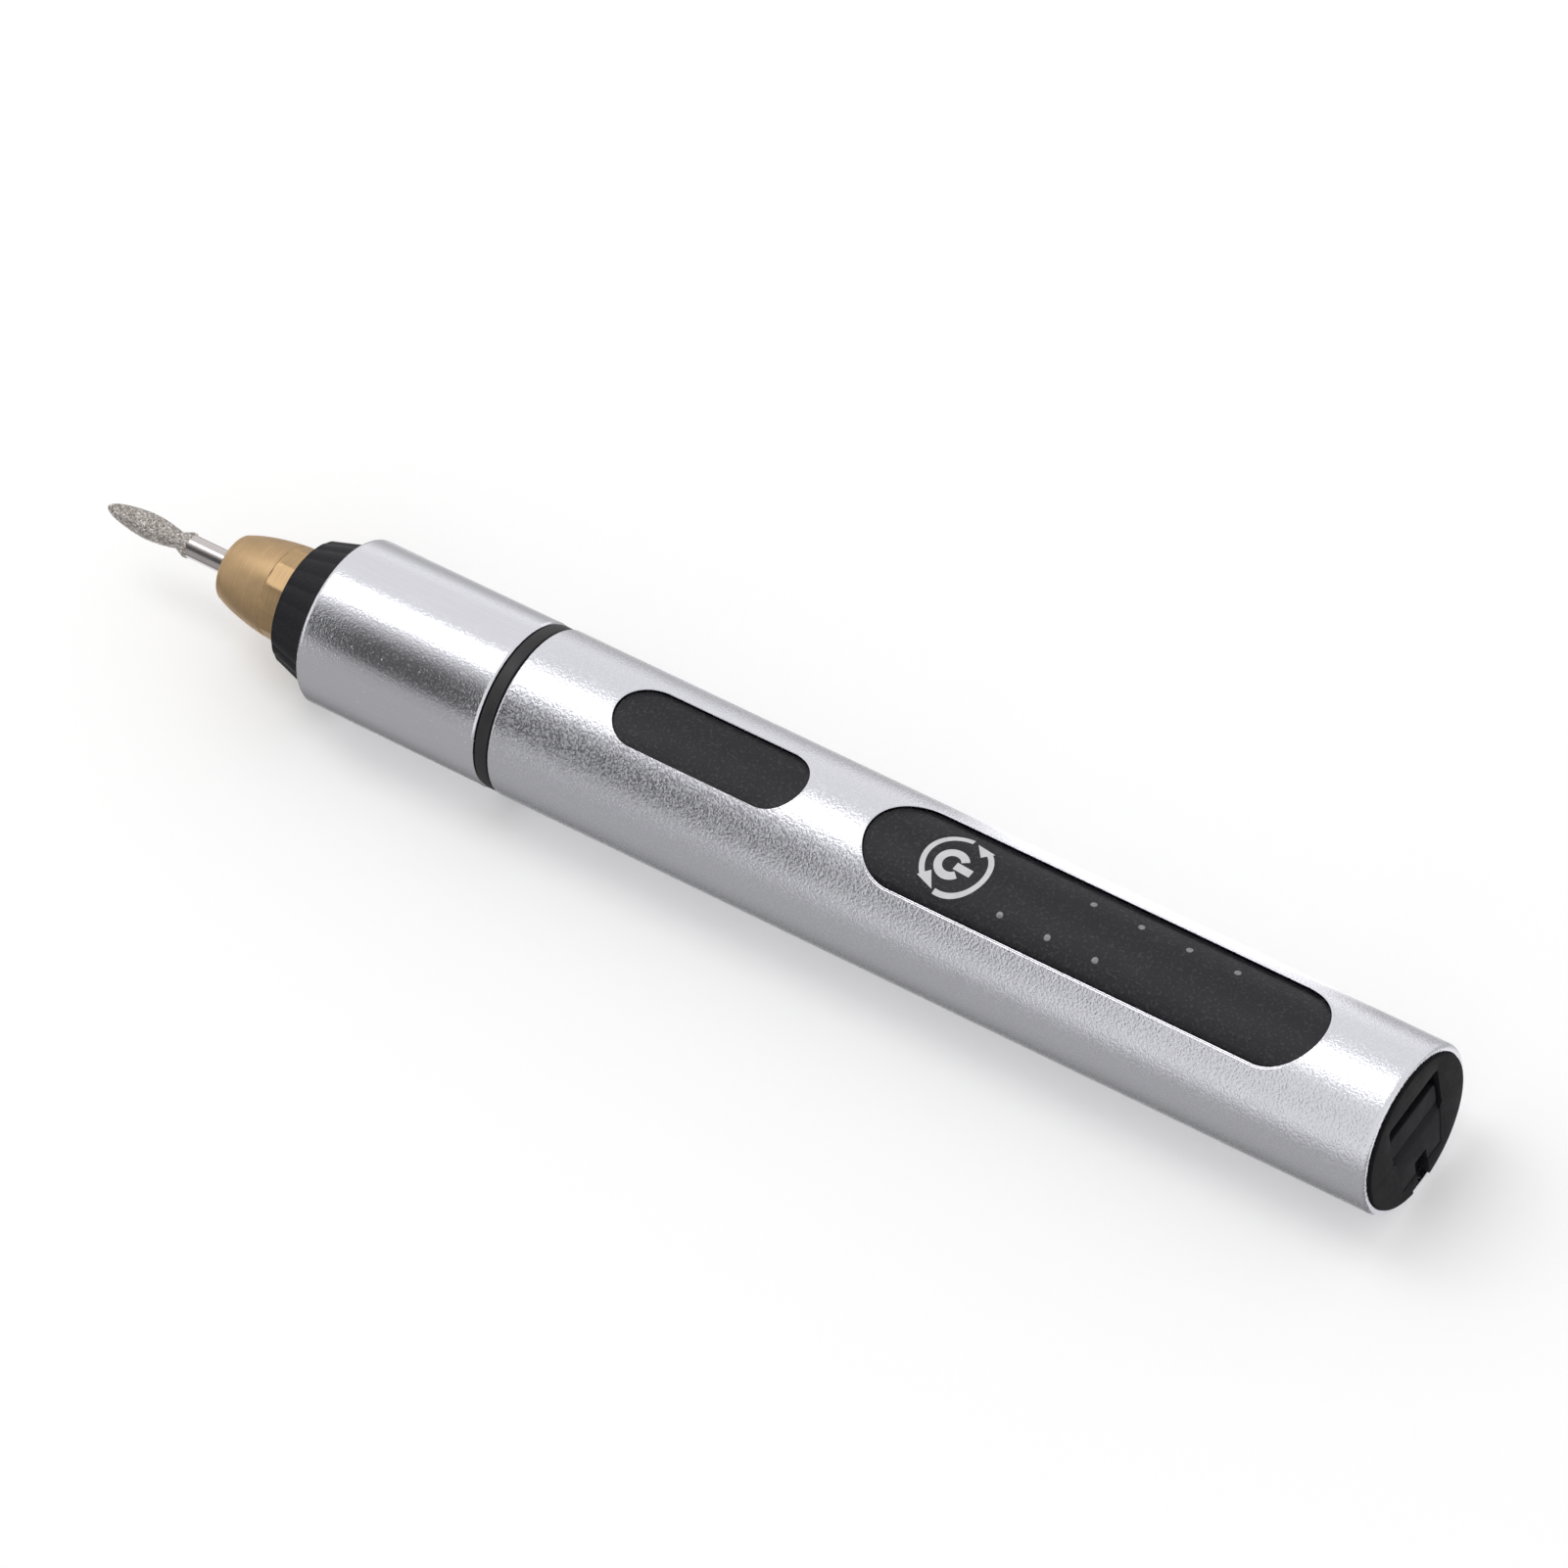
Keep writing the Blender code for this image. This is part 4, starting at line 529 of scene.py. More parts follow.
def plainFinish(name):
    look = plainFinishes[name]
    tree, shader, place = startMaterial(name, look.get("metallic", 0.0))
    shader.inputs["Specular IOR Level"].default_value = look.get("specular", 0.5)
    grainSize, grainDepth = look["grain"]
    patches = patchy(tree, place, look)
    grain = useGroup(tree, "blastedGrain", place, Scale=perMm / grainSize, Sparkle=plainExtras["sparkle"])
    colour = blendColour(tree, patches["Mask"], *look["colours"])
    if "speckle" in look:
        colour = blendColour(tree, grain["Bright"], colour, look["speckle"])
    if "dust" in look:
        dust = flecks(tree, place, plainExtras["fleck spacing"], plainExtras["fleck radius"], look["share"])
        colour = blendColour(tree, dust, colour, look["dust"])
    finishSkin(tree, shader, colour, patches["Level"], (grain["Height"], grainDepth))


# Turned metals show the rings that the tool left, in place of grain.
turnedFinishes = {
    "brass": recipe((0.54, 0.37, 0.20), (0.67, 0.475, 0.28), (0.42, 0.52), (0.17, 0.011), 1.4),
    "polishedSteel": recipe((0.68, 0.635, 0.625), (0.78, 0.735, 0.725), (0.10, 0.17), (0.12, 0.0012), 1.5),
}


def turnedFinish(name):
    look = turnedFinishes[name]
    tree, shader, place = startMaterial(name, 1.0)
    ringSize, ringDepth = look["grain"]
    rings = useGroup(tree, "turningRings", place, Scale=perMm / ringSize)
    patches = patchy(tree, place, look)
    mask = times(tree, rings["Mask"], patches["Mask"])
    colour = blendColour(tree, mask, *look["colours"])
    finishSkin(tree, shader, colour, patches["Level"], (rings["Height"], ringDepth))


gritFinish = {
    "bond": (0.27, 0.235, 0.20),
    "grains": (1.0, 0.955, 0.94),
    "metallic": 0.75,
    "grain size": 0.19,
    "grain depth": 0.10,
    "sparkle": 0.55,
    "shade ends": (0.4, 0.6, 0.3, 1.0),
    "roughness": (0.25, 0.50),
}


def diamondGrit():
    look = gritFinish
    tree, shader, place = startMaterial("diamondGrit", look["metallic"])
    scale = perMm / look["grain size"]
    cells = node(tree, "TexVoronoi", {"Vector": place, "Scale": scale}).outputs
    shade = separated(tree, "Color", cells["Color"])
    grain = useGroup(tree, "blastedGrain", place, Scale=scale, Sparkle=look["sparkle"])
    mask = times(tree, shade[0], remap(tree, grain["Height"], *look["shade ends"]))
    colour = blendColour(tree, mask, look["bond"], look["grains"])
    rough = remap(tree, shade[1], 0.0, 1.0, *look["roughness"])
    height = calc(tree, "SUBTRACT", grain["Height"], cells["Distance"])
    finishSkin(tree, shader, colour, rough, (height, look["grain depth"]))


for name in plainFinishes:
    plainFinish(name)
for name in turnedFinishes:
    turnedFinish(name)
satinAluminium()
smoothAluminium()
diamondGrit()


def dressFrame():
    # Every CAD node takes the finish of its slot, also those that a finer shell replaces later.
    for part in frame["record"]["subparts"]:
        mesh = frame["nodes"][part["node"]].data
        mesh.materials.clear()
        mesh.materials.append(finishOf(part["material_slot"]))


dressFrame()
print("finishes ready")


# Casing tube with its two windows

tube = {
    "wall": 1.0,
    "rim wall": 0.66,
    "seat depth": 1.2,
    "rear reach": 0.26,
    "rear edge": 0.50,
    "front edge": 0.30,
    "trim section": ((-0.06, -0.07), (0.15, 0.02), (0.22, -0.06), (0.03, -0.28)),
    "panel gap": 0.10,
}


def windowTrim(name, outline):
    # The bright line round a window: a bevelled rim whose slope faces into the window.
    bm = bmesh.new()
    rings = []
    count = len(outline)
    for number, (x, y) in enumerate(outline):
        before, after = outline[number - 1], outline[(number + 1) % count]
        out = Vector((after[1] - before[1], before[0] - after[0])).normalized()
        ring = []
        for reach, rise in tube["trim section"]:
            placeX, placeY = x + out.x * reach * mm, y + out.y * reach * mm
            skin = math.sqrt(tubeRadius**2 - placeY**2)
            ring.append(bm.verts.new((placeX, placeY, axisZ + skin + rise * mm)))
        rings.append(ring)
    for first, second in zip(rings, rings[1:] + rings[:1]):
        joinRings(bm, first, second)
    dress(addPiece(name, bm), "casing", "smooth_aluminium")


def buildTube():
    rear, front = tubeHigh.x + tube["rear reach"] * mm, tubeLow.x
    bore = tubeRadius - tube["wall"] * mm
    seat = tubeRadius - tube["rim wall"] * mm
    seatEnd = rear - tube["seat depth"] * mm
    profile = [(seatEnd, bore), (seatEnd, seat), (rear, seat)]
    profile += barrel(rear, front, tubeRadius, *sized(tube, "rear edge", "front edge"))
    shell = turnedPiece("tube_shell", profile + [(front, bore)], 256)
    gap = tube["panel gap"] * mm
    cutters = []
    for panel, trimName in (("control_film", "long_window_trim"), ("front_inlay", "short_window_trim")):
        low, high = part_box(panel)
        outline = stadiumOutline(high.x + gap, low.x - gap, high.y + gap)
        cutters.append(prism(panel + "_window", outline, axisZ, axisZ + 2 * tubeRadius, "Z"))
        windowTrim(trimName, outline)
    carve(shell, cutters)
    roundNormals(shell, tubeRadius)
    dress(shell, "casing", "satin_aluminium", "body_tube")


# Black ring between the tube and the sleeve

jointRing = {"outer inset": 0.12, "edge": 0.12, "bore": 5.6, "spigot": 6.0, "gap": 0.13, "spigot gap": 0.10}


def buildJointRing():
    gap, edge, spigot, bore = sized(jointRing, "gap", "edge", "spigot", "bore")
    outer = tubeRadius - jointRing["outer inset"] * mm
    rear, front = tubeLow.x - gap, sleeveHigh.x + gap
    spigotRear = rear + spigot
    spigotFront = front - spigot
    rearSpigot = tubeRadius - (tube["wall"] + jointRing["spigot gap"]) * mm
    frontSpigot = tubeRadius - (sleeve["wall"] + jointRing["spigot gap"]) * mm
    profile = [(spigotRear, bore), (spigotRear, rearSpigot), (rear, rearSpigot)]
    profile += barrel(rear, front, outer, edge, edge, 3)
    profile += [(front, frontSpigot), (spigotFront, frontSpigot), (spigotFront, bore)]
    ring = turnedPiece("joint_band", profile, 192)
    dress(ring, "casing", "black_plastic", "joint_ring", finish="ringPlastic")


# Front sleeve

sleeve = {"wall": 1.1, "front edge": 0.55, "rear edge": 0.30}


def buildSleeve():
    rear, front = sleeveHigh.x, sleeveLow.x
    bore = tubeRadius - sleeve["wall"] * mm
    profile = barrel(rear, front, tubeRadius, *sized(sleeve, "rear edge", "front edge"))
    shell = turnedPiece("sleeve_shell", [(rear, bore)] + profile + [(front, bore)], 256)
    dress(shell, "casing", "smooth_aluminium", "front_sleeve")


# Ribbed nose collar

nose = {
    "screw radius": 7.25,
    "rear radius": 7.64,
    "front radius": 6.42,
    "front edge": 0.25,
    "bore": 4.2,
    "ribs": 24,
    "rib depth": 0.15,
    "rib sharpness": 2.2,
    "plain rear": 0.15,
    "plain front": 0.15,
    "rear gap": 0.05,
}


def buildNose():
    front = noseLow.x
    rear = sleeveLow.x - nose["rear gap"] * mm
    screwEnd = noseHigh.x
    frontRadius, rearRadius, screw = sized(nose, "front radius", "rear radius", "screw radius")
    edge, bore = sized(nose, "front edge", "bore")
    profile = [(screwEnd, bore), (screwEnd, screw), (rear, screw)]
    edgeStart = front + edge
    steps = 12
    for step in range(steps):
        share = step / steps
        profile.append((rear + (edgeStart - rear) * share, rearRadius + (frontRadius - rearRadius) * share))
    profile += roundedCorner(edgeStart, frontRadius - edge, edge, 90, 180, 8)
    profile += [(front, bore)]

    def ribbed(x, radius, turn):
        if radius < (bore + frontRadius) / 2 or x > rear + hair:
            return radius
        wave = 0.5 + 0.5 * math.cos(nose["ribs"] * turn)
        groove = 1 - wave ** (1 / nose["rib sharpness"])
        rearEnd = min(1, max(0, (rear - x) / (nose["plain rear"] * mm)))
        frontEnd = min(1, max(0, (x - front) / (nose["plain front"] * mm)))
        return radius - nose["rib depth"] * mm * groove * rearEnd * frontEnd

    collar = turnedPiece("nose_shell", profile, nose["ribs"] * 12, True, ribbed, 40)
    dress(collar, "casing", "black_plastic", "nose_collar")


# The two dark panels, the key and the lamps

panels = {
    "recess": 0.35,
    "film": 0.30,
    "inlay": 0.55,
    "edge": 0.03,
    "key gap": 0.012,
    "key thickness": 1.6,
    "lamp radius": 0.33,
    "lamp rise": 0.05,
    "lamp gap": 0.01,
    "lamp dome": (1.0, 0.9, 0.72, 0.45),
    "lamp sides": 24,
}


def lampPlaces():
    for number in range(1, 8):
        low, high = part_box(f"light_guide_{number}")
        yield number, (low.x + high.x) / 2, (low.y + high.y) / 2, low.z


def buildPanels():
    surface = tubeRadius - panels["recess"] * mm
    edge = panels["edge"] * mm
    low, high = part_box("front_inlay")
    inlay = bentPlate("inlay_plate", high.x, low.x, high.y, surface, panels["inlay"] * mm, edge)
    dress(inlay, "casing", "charcoal_film", "front_inlay")
    low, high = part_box("control_film")
    film = bentPlate("film_plate", high.x, low.x, high.y, surface, panels["film"] * mm, edge)
    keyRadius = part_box("power_key")[1].y
    keyGap = panels["key gap"] * mm
    lampHole = (panels["lamp radius"] + panels["lamp gap"]) * mm
    holes = [("key_hole", circleOutline(keyX, 0, keyRadius + keyGap))]
    for number, x, y, _ in lampPlaces():
        holes.append((f"lamp_hole_{number}", circleOutline(x, y, lampHole, panels["lamp sides"])))
    carve(film, [prism(name, outline, axisZ, axisZ + 2 * surface, "Z") for name, outline in holes])
    dress(film, "casing", "charcoal_film", "control_film")
    key = bentPlate("key_cap", keyX + keyRadius, keyX - keyRadius, keyRadius, surface,
                    panels["key thickness"] * mm, keyGap)
    dress(key, "key", "charcoal_film", "power_key")
    return surface


def buildLamps(surface):
    radius, rise = sized(panels, "lamp radius", "lamp rise")
    for number, x, y, bottom in lampPlaces():
        bm = bmesh.new()
        top = axisZ + math.sqrt(surface**2 - y**2)
        lean = math.tan(-math.asin(y / surface))
        levels = [(radius, bottom - top), (radius, -rise)]
        levels += [(radius * share, rise * (1 - share**2)) for share in panels["lamp dome"]]
        rings = []
        for reach, height in levels:
            slope = lean if height > -rise else 0
            rings.append([bm.verts.new((x + ahead, y + across, top + height + across * slope))
                          for ahead, across in circleOutline(0, 0, reach, panels["lamp sides"])])
        for first, second in zip(rings, rings[1:]):
            joinRings(bm, first, second)
        bm.faces.new(rings[0])
        bm.faces.new(rings[-1])
        dress(addPiece(f"lamp_lens_{number}", bm), "casing", "clear_guide", f"light_guide_{number}")


# The printed control symbol on the key: a ring of two arrows round a power sign

symbol = {
    "arrow radius": 3.20,
    "arrow stroke": 0.54,
    "arrow arcs": ((94, 222), (261, 411)),
    "head length": 1.90,
    "head corners": (2.32, 3.69),
    "head tip": 3.18,
    "head parts": 6,
    "power radius": 1.29,
    "power stroke": 0.80,
    "power gap": 37,
    "power centre": (-0.40, -0.16),
    "power turn": -4,
    "bar length": 1.82,
    "bar width": 0.80,
    "bar start": 0.42,
    "bar parts": 4,
    "rise": 0.012,
}


def buildSymbol(surface):
    # Angles are seen from above: 0 is toward the tail (+X) and they grow toward +Y.
    bm = bmesh.new()

    def patch(corners):
        bm.faces.new([bm.verts.new((keyX + x * mm, y * mm, 0)) for x, y in corners])

    def glyphPlace(x, y):
        turned = Matrix.Rotation(math.radians(symbol["power turn"]), 2) @ Vector((x, y))
        return turned + Vector(symbol["power centre"])

    def band(radius, stroke, start, end, placed=lambda x, y: (x, y)):
        steps = int((end - start) / 3)
        inner = roundedCorner(0, 0, radius - stroke / 2, start, end, steps)
        outer = roundedCorner(0, 0, radius + stroke / 2, start, end, steps)
        for step in range(steps):
            corners = (inner[step], outer[step], outer[step + 1], inner[step + 1])
            patch([placed(*corner) for corner in corners])

    def arrowHead(angle):
        # In rows, so that it can bend with the key.
        tipTurn = angle + symbol["head length"] / symbol["head tip"]
        places = [(angle, reach) for reach in symbol["head corners"]] + [(tipTurn, symbol["head tip"])]
        inner, outer, tip = (Vector((math.cos(turn), math.sin(turn))) * reach for turn, reach in places)
        parts = symbol["head parts"]
        for part in range(parts):
            for strip in range(parts):
                sides = [inner.lerp(outer, share / parts) for share in (strip, strip + 1)]
                corners = [side.lerp(tip, part / parts) for side in sides]
                corners += [side.lerp(tip, (part + 1) / parts) for side in reversed(sides)]
                patch([tuple(corner) for corner in (corners if part < parts - 1 else corners[:3])])

    for start, end in symbol["arrow arcs"]:
        band(symbol["arrow radius"], symbol["arrow stroke"], start, end)
        arrowHead(math.radians(end))
    half = symbol["power gap"]
    band(symbol["power radius"], symbol["power stroke"], half, 360 - half, glyphPlace)
    start = symbol["bar start"]
    end = start + symbol["bar length"]
    parts = symbol["bar parts"]
    for part in range(parts):
        low, high = (symbol["bar width"] * (edge / parts - 0.5) for edge in (part, part + 1))
        patch([glyphPlace(*corner) for corner in ((start, low), (end, low), (end, high), (start, high))])
    bmesh.ops.remove_doubles(bm, verts=bm.verts, dist=hair)
    bmesh.ops.recalc_face_normals(bm, faces=bm.faces)
    rise = symbol["rise"] * mm
    grown = bmesh.ops.extrude_face_region(bm, geom=list(bm.faces))
    raised = {item for item in grown["geom"] if isinstance(item, bmesh.types.BMVert)}
    for vert in bm.verts:
        level = surface + (rise if vert in raised else -rise)
        vert.co.z = axisZ + math.sqrt(level**2 - vert.co.y**2)
    dress(addPiece("key_symbol", bm), "key", "white_print")


# Brass collet nut

nut = {
    "front radius": 3.10,
    "rear radius": 4.85,
    "face edge": 0.45,
    "curve power": 0.69,
    "flats": 12,
    "flat length": 2.45,
    "flat depth": 0.23,
    "flat turn": -16,
    "step width": 0.10,
    "step depth": 0.05,
    "mouth": 1.32,
    "thread": 3.0,
    "thread end": 4.0,
}


def buildNut():
    front, rear = nutLow.x, nutHigh.x
    length = rear - front
    steps = 44

    def ogive(x):
        share = min(1, max(0, (x - front) / length))
        swell = math.sin(math.pi / 2 * share) ** nut["curve power"]
        return (nut["front radius"] + (nut["rear radius"] - nut["front radius"]) * swell) * mm

    mouth, faceEdge, thread = sized(nut, "mouth", "face edge", "thread")
    stepWidth, stepDepth = sized(nut, "step width", "step depth")
    face = (nut["front radius"] - nut["face edge"]) * mm
    reach = ogive(front + faceEdge) - face
    profile = [(front, mouth), (front, face)]
    for step in range(1, 5):
        turn = math.pi / 2 * step / 5
        profile.append((front + faceEdge * (1 - math.cos(turn)), face + reach * math.sin(turn)))
    flatsFront = rear - nut["flat length"] * mm
    places = [front + faceEdge + (rear - front - faceEdge) * step / steps for step in range(steps + 1)]
    places += [flatsFront, flatsFront - stepWidth, flatsFront - stepWidth / 2]
    profile += [(x, ogive(x)) for x in sorted(places)]
    threadEnd = rear - nut["thread end"] * mm
    profile += [(rear, thread), (threadEnd, thread), (threadEnd, mouth)]
    apothem = (nut["rear radius"] - nut["flat depth"]) * mm
    sector = math.tau / nut["flats"]

    def wrenched(x, radius, turn):
        if radius <= thread or x < flatsFront - stepWidth:
            return radius
        if x < flatsFront - hair:
            return radius - stepDepth * math.sin(math.pi * ((x - flatsFront) / stepWidth + 1))
        offset = (turn - math.radians(nut["flat turn"]) + sector / 2) % sector - sector / 2
        return min(radius, apothem / math.cos(offset))

    shell = turnedPiece("nut_shell", profile, 240, True, wrenched, 20)
    dress(shell, "nut", "brass", "collet_nut")


# Burr: shank with its collar and neck, and the diamond head

burr = {
    "shank radius": 1.175,
    "collar radius": 1.31,
    "collar length": 0.60,
    "waist radius": 0.87,
    "waist length": 1.07,
    "coat gap": 0.05,
    "head radius": 1.33,
    "belly share": 0.41,
    "tip radius": 0.12,
    "bevel": 0.15,
    "head curve": 1.5,
    "grit height": 0.05,
    "grit own share": 0.35,
    "least share": 0.6,
    "grit pitch": 0.13,
    "grit seed": 7,
}


def buildBurr():
    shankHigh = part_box("burr_shank")[1]
    headLow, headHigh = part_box("burr_head")
    shank, collar, waist, bevel = sized(burr, "shank radius", "collar radius", "waist radius", "bevel")
    collarFront = headHigh.x + (burr["coat gap"] + burr["waist length"] / 2) * mm
    collarRear = collarFront + burr["collar length"] * mm
    coatRear = collarRear - bevel
    profile = [(shankHigh.x, 0), (shankHigh.x, shank - bevel), (shankHigh.x - bevel, shank)]
    profile += [(coatRear, shank), (coatRear, 0)]
    rod = turnedPiece("burr_rod", profile, 64, False)
    dress(rod, "burr", "polished_steel", "burr_shank")

    headRear = collarFront - burr["waist length"] * mm
    length = headRear - headLow.x
    belly, tip = sized(burr, "head radius", "tip radius")
    profile = [(coatRear, 0), (coatRear, shank)]
    for step in range(9):
        profile.append((coatRear - bevel + (collarFront - coatRear + bevel) * step / 8, collar))
    for share in (step / 12 for step in range(1, 12)):
        profile.append((collarFront + (headRear - collarFront) * share, collar + (waist - collar) * share))
    for share in (step / 96 for step in range(97)):
        if share < burr["belly share"]:
            radius = waist + (belly - waist) * math.sin(math.pi / 2 * share / burr["belly share"])
        else:
            run = (share - burr["belly share"]) / (1 - burr["belly share"])
            radius = max(tip, belly * math.sqrt(max(0, 1 - run ** burr["head curve"])))
        profile.append((headRear - share * length, radius))
    profile.append((headLow.x, 0))
    dice = random.Random(burr["grit seed"])
    heights = {}
    pitch, grit = sized(burr, "grit pitch", "grit height")
    own = burr["grit own share"]

    def gritty(x, radius, turn):
        # Grains are a few steps wide, so that neighbouring points share some of their height.
        spot = (round(x / pitch), round(turn * radius / pitch))
        if spot not in heights:
            heights[spot] = dice.random()
        inward = grit * (own * dice.random() + (1 - own) * heights[spot])
        return max(radius - inward, radius * burr["least share"])

    head = turnedPiece("burr_grit", profile, 72, False, gritty, 180)
    dress(head, "burr", "diamond_grit", "burr_head")


# Tail: cap, dust cover and its strap

tail = {
    "cap edge": 0.14,
    "rim gap": 0.10,
    "floor gap": 0.05,
    "fit": 0.10,
    "cut reach": 2.0,
    "pocket": (4.05, 4.9, 0.45, 1.55),  # half width, top, corner, depth
    "pit": (0.95, -3.8, 0.3, 1.3),  # half width, top, corner, depth
    "notch": (1.3, -0.5, 1.0, 0.2, 0.08),  # half width, place, height, corner, floor
    "socket": (3.7, 1.5, 1.2, 0.4),  # half width, centre, half height, corner
    "board": (5.1, 0.9, 0.05, 0.25),  # half width, thickness, corner, depth
    "cover": (3.75, 0.12, 2.8, 0.45),  # half width, bottom, top, corner
    "cover sink": 0.30,
    "cover thickness": 1.0,
    "strap": (-5.4, -0.12, 0.8, 0.05),  # bottom, top, thickness, sink
    "strap taper": 0.6,
    "strap gap": 0.02,
    "valley": (0.9, 0.50),  # width, depth
    "soft edge": 0.07,
    "rubber edge": 0.12,
    "strap edge": 0.05,
}


def buildTail():
    face = capHigh.x
    rimFace = tubeHigh.x + tube["rear reach"] * mm
    edge, floorGap, fit, beyond = sized(tail, "cap edge", "floor gap", "fit", "cut reach")
    capRadius = tubeRadius - (tube["rim wall"] + tail["rim gap"]) * mm
    plugRadius = tubeRadius - (tube["wall"] + tail["rim gap"]) * mm
    shoulder = rimFace - tube["seat depth"] * mm + floorGap
    profile = [(capLow.x, 0), (capLow.x, plugRadius), (shoulder, plugRadius), (shoulder, capRadius)]
    profile += roundedCorner(face - edge, capRadius - edge, edge, 90, 0)
    cap = turnedPiece("cap_shell", profile + [(face, 0)], 160, False)

    outside = face + beyond
    inside = capLow.x - beyond
    below = -capRadius - beyond
    halfPocket, pocketTop, pocketCorner, pocketDepth = inMetres(tail["pocket"])
    halfPit, pitTop, pitCorner, pitDepth = inMetres(tail["pit"])
    halfNotch, notchPlace, notchHeight, notchCorner, notchFloor = inMetres(tail["notch"])
    halfSocket, socketCentre, socketHalf, socketCorner = inMetres(tail["socket"])
    halfBoard, boardThickness, boardCorner, boardDepth = inMetres(tail["board"])
    halfCover, coverLow, coverTop, coverCorner = inMetres(tail["cover"])
    bottom, strapTop, thickness, sink = inMetres(tail["strap"])
    gap, taper = sized(tail, "strap gap", "strap taper")

    # Every cut is an outline seen from behind, with its depth along the pen.
    channelFloor = face - sink - thickness - floorGap
    pocketFloor = face - pocketDepth
    notchTop = notchHeight - capRadius
    socketLow, socketHigh = socketCentre - socketHalf - fit, socketCentre + socketHalf + fit
    pocket = roundBoxOutline(halfPocket, -pocketCorner, pocketTop, pocketCorner)
    channel = [(-halfCover - gap + taper, bottom - gap), (halfCover + gap - taper, bottom - gap),
               (halfCover + gap, 0), (-halfCover - gap, 0)]
    pit = roundBoxOutline(halfPit, notchTop - beyond, pitTop, pitCorner)
    notch = roundBoxOutline(halfNotch, below, notchTop, notchCorner, notchPlace)
    socket = roundBoxOutline(halfSocket + fit, socketLow, socketHigh, socketCorner)
    board = roundBoxOutline(halfBoard, socketLow - boardThickness, socketLow + fit, boardCorner)
    cuts = (("pocket_cut", pocket, pocketFloor, outside), ("channel_cut", channel, channelFloor, outside),
            ("pit_cut", pit, face - pitDepth, outside), ("notch_cut", notch, rimFace + notchFloor, outside),
            ("socket_cut", socket, inside, face), ("board_cut", board, inside, pocketFloor - boardDepth))
    carve(cap, [prism(*cut, "X") for cut in cuts])
    soften(cap, tail["soft edge"] * mm, 2)
    dress(cap, "casing", "black_plastic", "tail_cap", finish="capPlastic")

    front = face - tail["cover sink"] * mm
    back = front - tail["cover thickness"] * mm
    outline = roundBoxOutline(halfCover, coverLow, coverTop, coverCorner)
    cover = prism("dust_cover", outline, back, front, "X")
    soften(cover, tail["rubber edge"] * mm)
    dress(cover, "cover", "black_rubber", "port_cover")

    # The strap falls away into a shallow valley where the cover folds.
    front = face - sink
    valleyWidth, valleyDepth = inMetres(tail["valley"])
    outline = [(-halfCover + taper, bottom), (-halfPit, bottom), (-halfPit, pitTop),
               (halfPit, pitTop), (halfPit, bottom), (halfCover - taper, bottom),
               (halfCover, strapTop), (-halfCover, strapTop)]
    strap = prism("cover_tongue", outline, front - thickness, front, "X")
    slope = [(front + fit, strapTop - valleyWidth), (front, strapTop - valleyWidth),
             (front - valleyDepth, strapTop + fit), (front + fit, strapTop + fit)]
    carve(strap, [prism("valley_cut", slope, -halfPocket, halfPocket, "Y")])
    soften(strap, tail["strap edge"] * mm)
    dress(strap, "casing", "black_rubber", "cover_strap")


buildTube()
buildJointRing()
buildSleeve()
print("aluminium shells ready")
buildNose()
panelSurface = buildPanels()
buildLamps(panelSurface)
buildSymbol(panelSurface)
print("panels ready")
buildNut()
buildBurr()
print("nut and burr ready")
buildTail()
print("tail ready")


# Studio: pale floor with a raised rim, plain sky, a large soft lamp, and glowing cards that only gloss
# sees, whose graded levels paint the reflections in the metal

studio = {
    "floor": (0.90, 0.90, 0.90),
    "floor patches": 3.0,
    "floor roughness": (0.86, 0.92),
    "floor specular": 0.1,
    "floor radius": 1.6,
    "floor rim": 0.3,
    "floor drop": 0.06,
    "floor white": 0.17,
    "sky": 0.80,
    "lamp radiance": 1.9,
    "lamp width": 0.46,
    "lamp length": 0.90,
    "lamp distance": 1.2,
    "lamp direction": (-0.42, 0.07, 0.905),
    "hood radius": 0.25,
    "hood tail end": -0.08177,
    "hood front end": -0.24,
    "board ends": (-0.45, 0.2),
    "board drop": 0.05,
    # The hood's levels, by angle round the pen, paint the dark band and the bright edge beside the
    # highlight that the metal reflects on its near side.
    "hood levels": ((-91, 0.38), (-75, 0.37), (-69, 0.18), (-64, 0.10), (-52, 0.09), (-41, 0.10),
                    (-31, 0.20), (-21, 0.46), (-12, 0.80), (-5, 1.0)),
    # The near board's levels paint the floor that the metal reflects, darker toward the pen as a painted
    # shadow.
    "near levels": ((-400, 0.43), (-20, 0.40), (-13, 0.37), (-9.5, 0.26), (-7, 0.20)),
    # The far board's levels paint the floor and backdrop that the metal reflects on its far side, with a
    # darker dip, and the far lift adds a lighter stretch.
    "far levels": ((14, 0.98), (19, 0.80), (24, 0.50), (34, 0.46), (52, 0.54), (105, 0.71), (400, 0.78)),
    "far lift": ((-60, 0.0), (20, 0.0), (27, 0.75), (60, 0.75), (67, 0.0), (200, 0.0)),
    "far lift lean": 0.42,
}


def gradedLevel(tree, name, levels, along):
    # A level that follows a list of stops, read off one coordinate or an angle.
    group, given, out = newGroup(name, [("Along", "Float", 0.0)], [("Level", "Float")])
    first, last = levels[0][0], levels[-1][0]
    ramp = node(group, "ValToRGB", {"Fac": remap(group, given["Along"], first, last)})
    stops = ramp.color_ramp.elements
    stops[0].position, stops[1].position = 0.0, 1.0
    for spot, _ in levels[1:-1]:
        stops.new((spot - first) / (last - first))
    for stop, (_, level) in zip(stops, levels):
        stop.color = (level, level, level, 1)
    feed(group, out["Level"], ramp.outputs["Color"])
    return node(tree, "Group", {"Along": along}, node_tree=group).outputs["Level"]
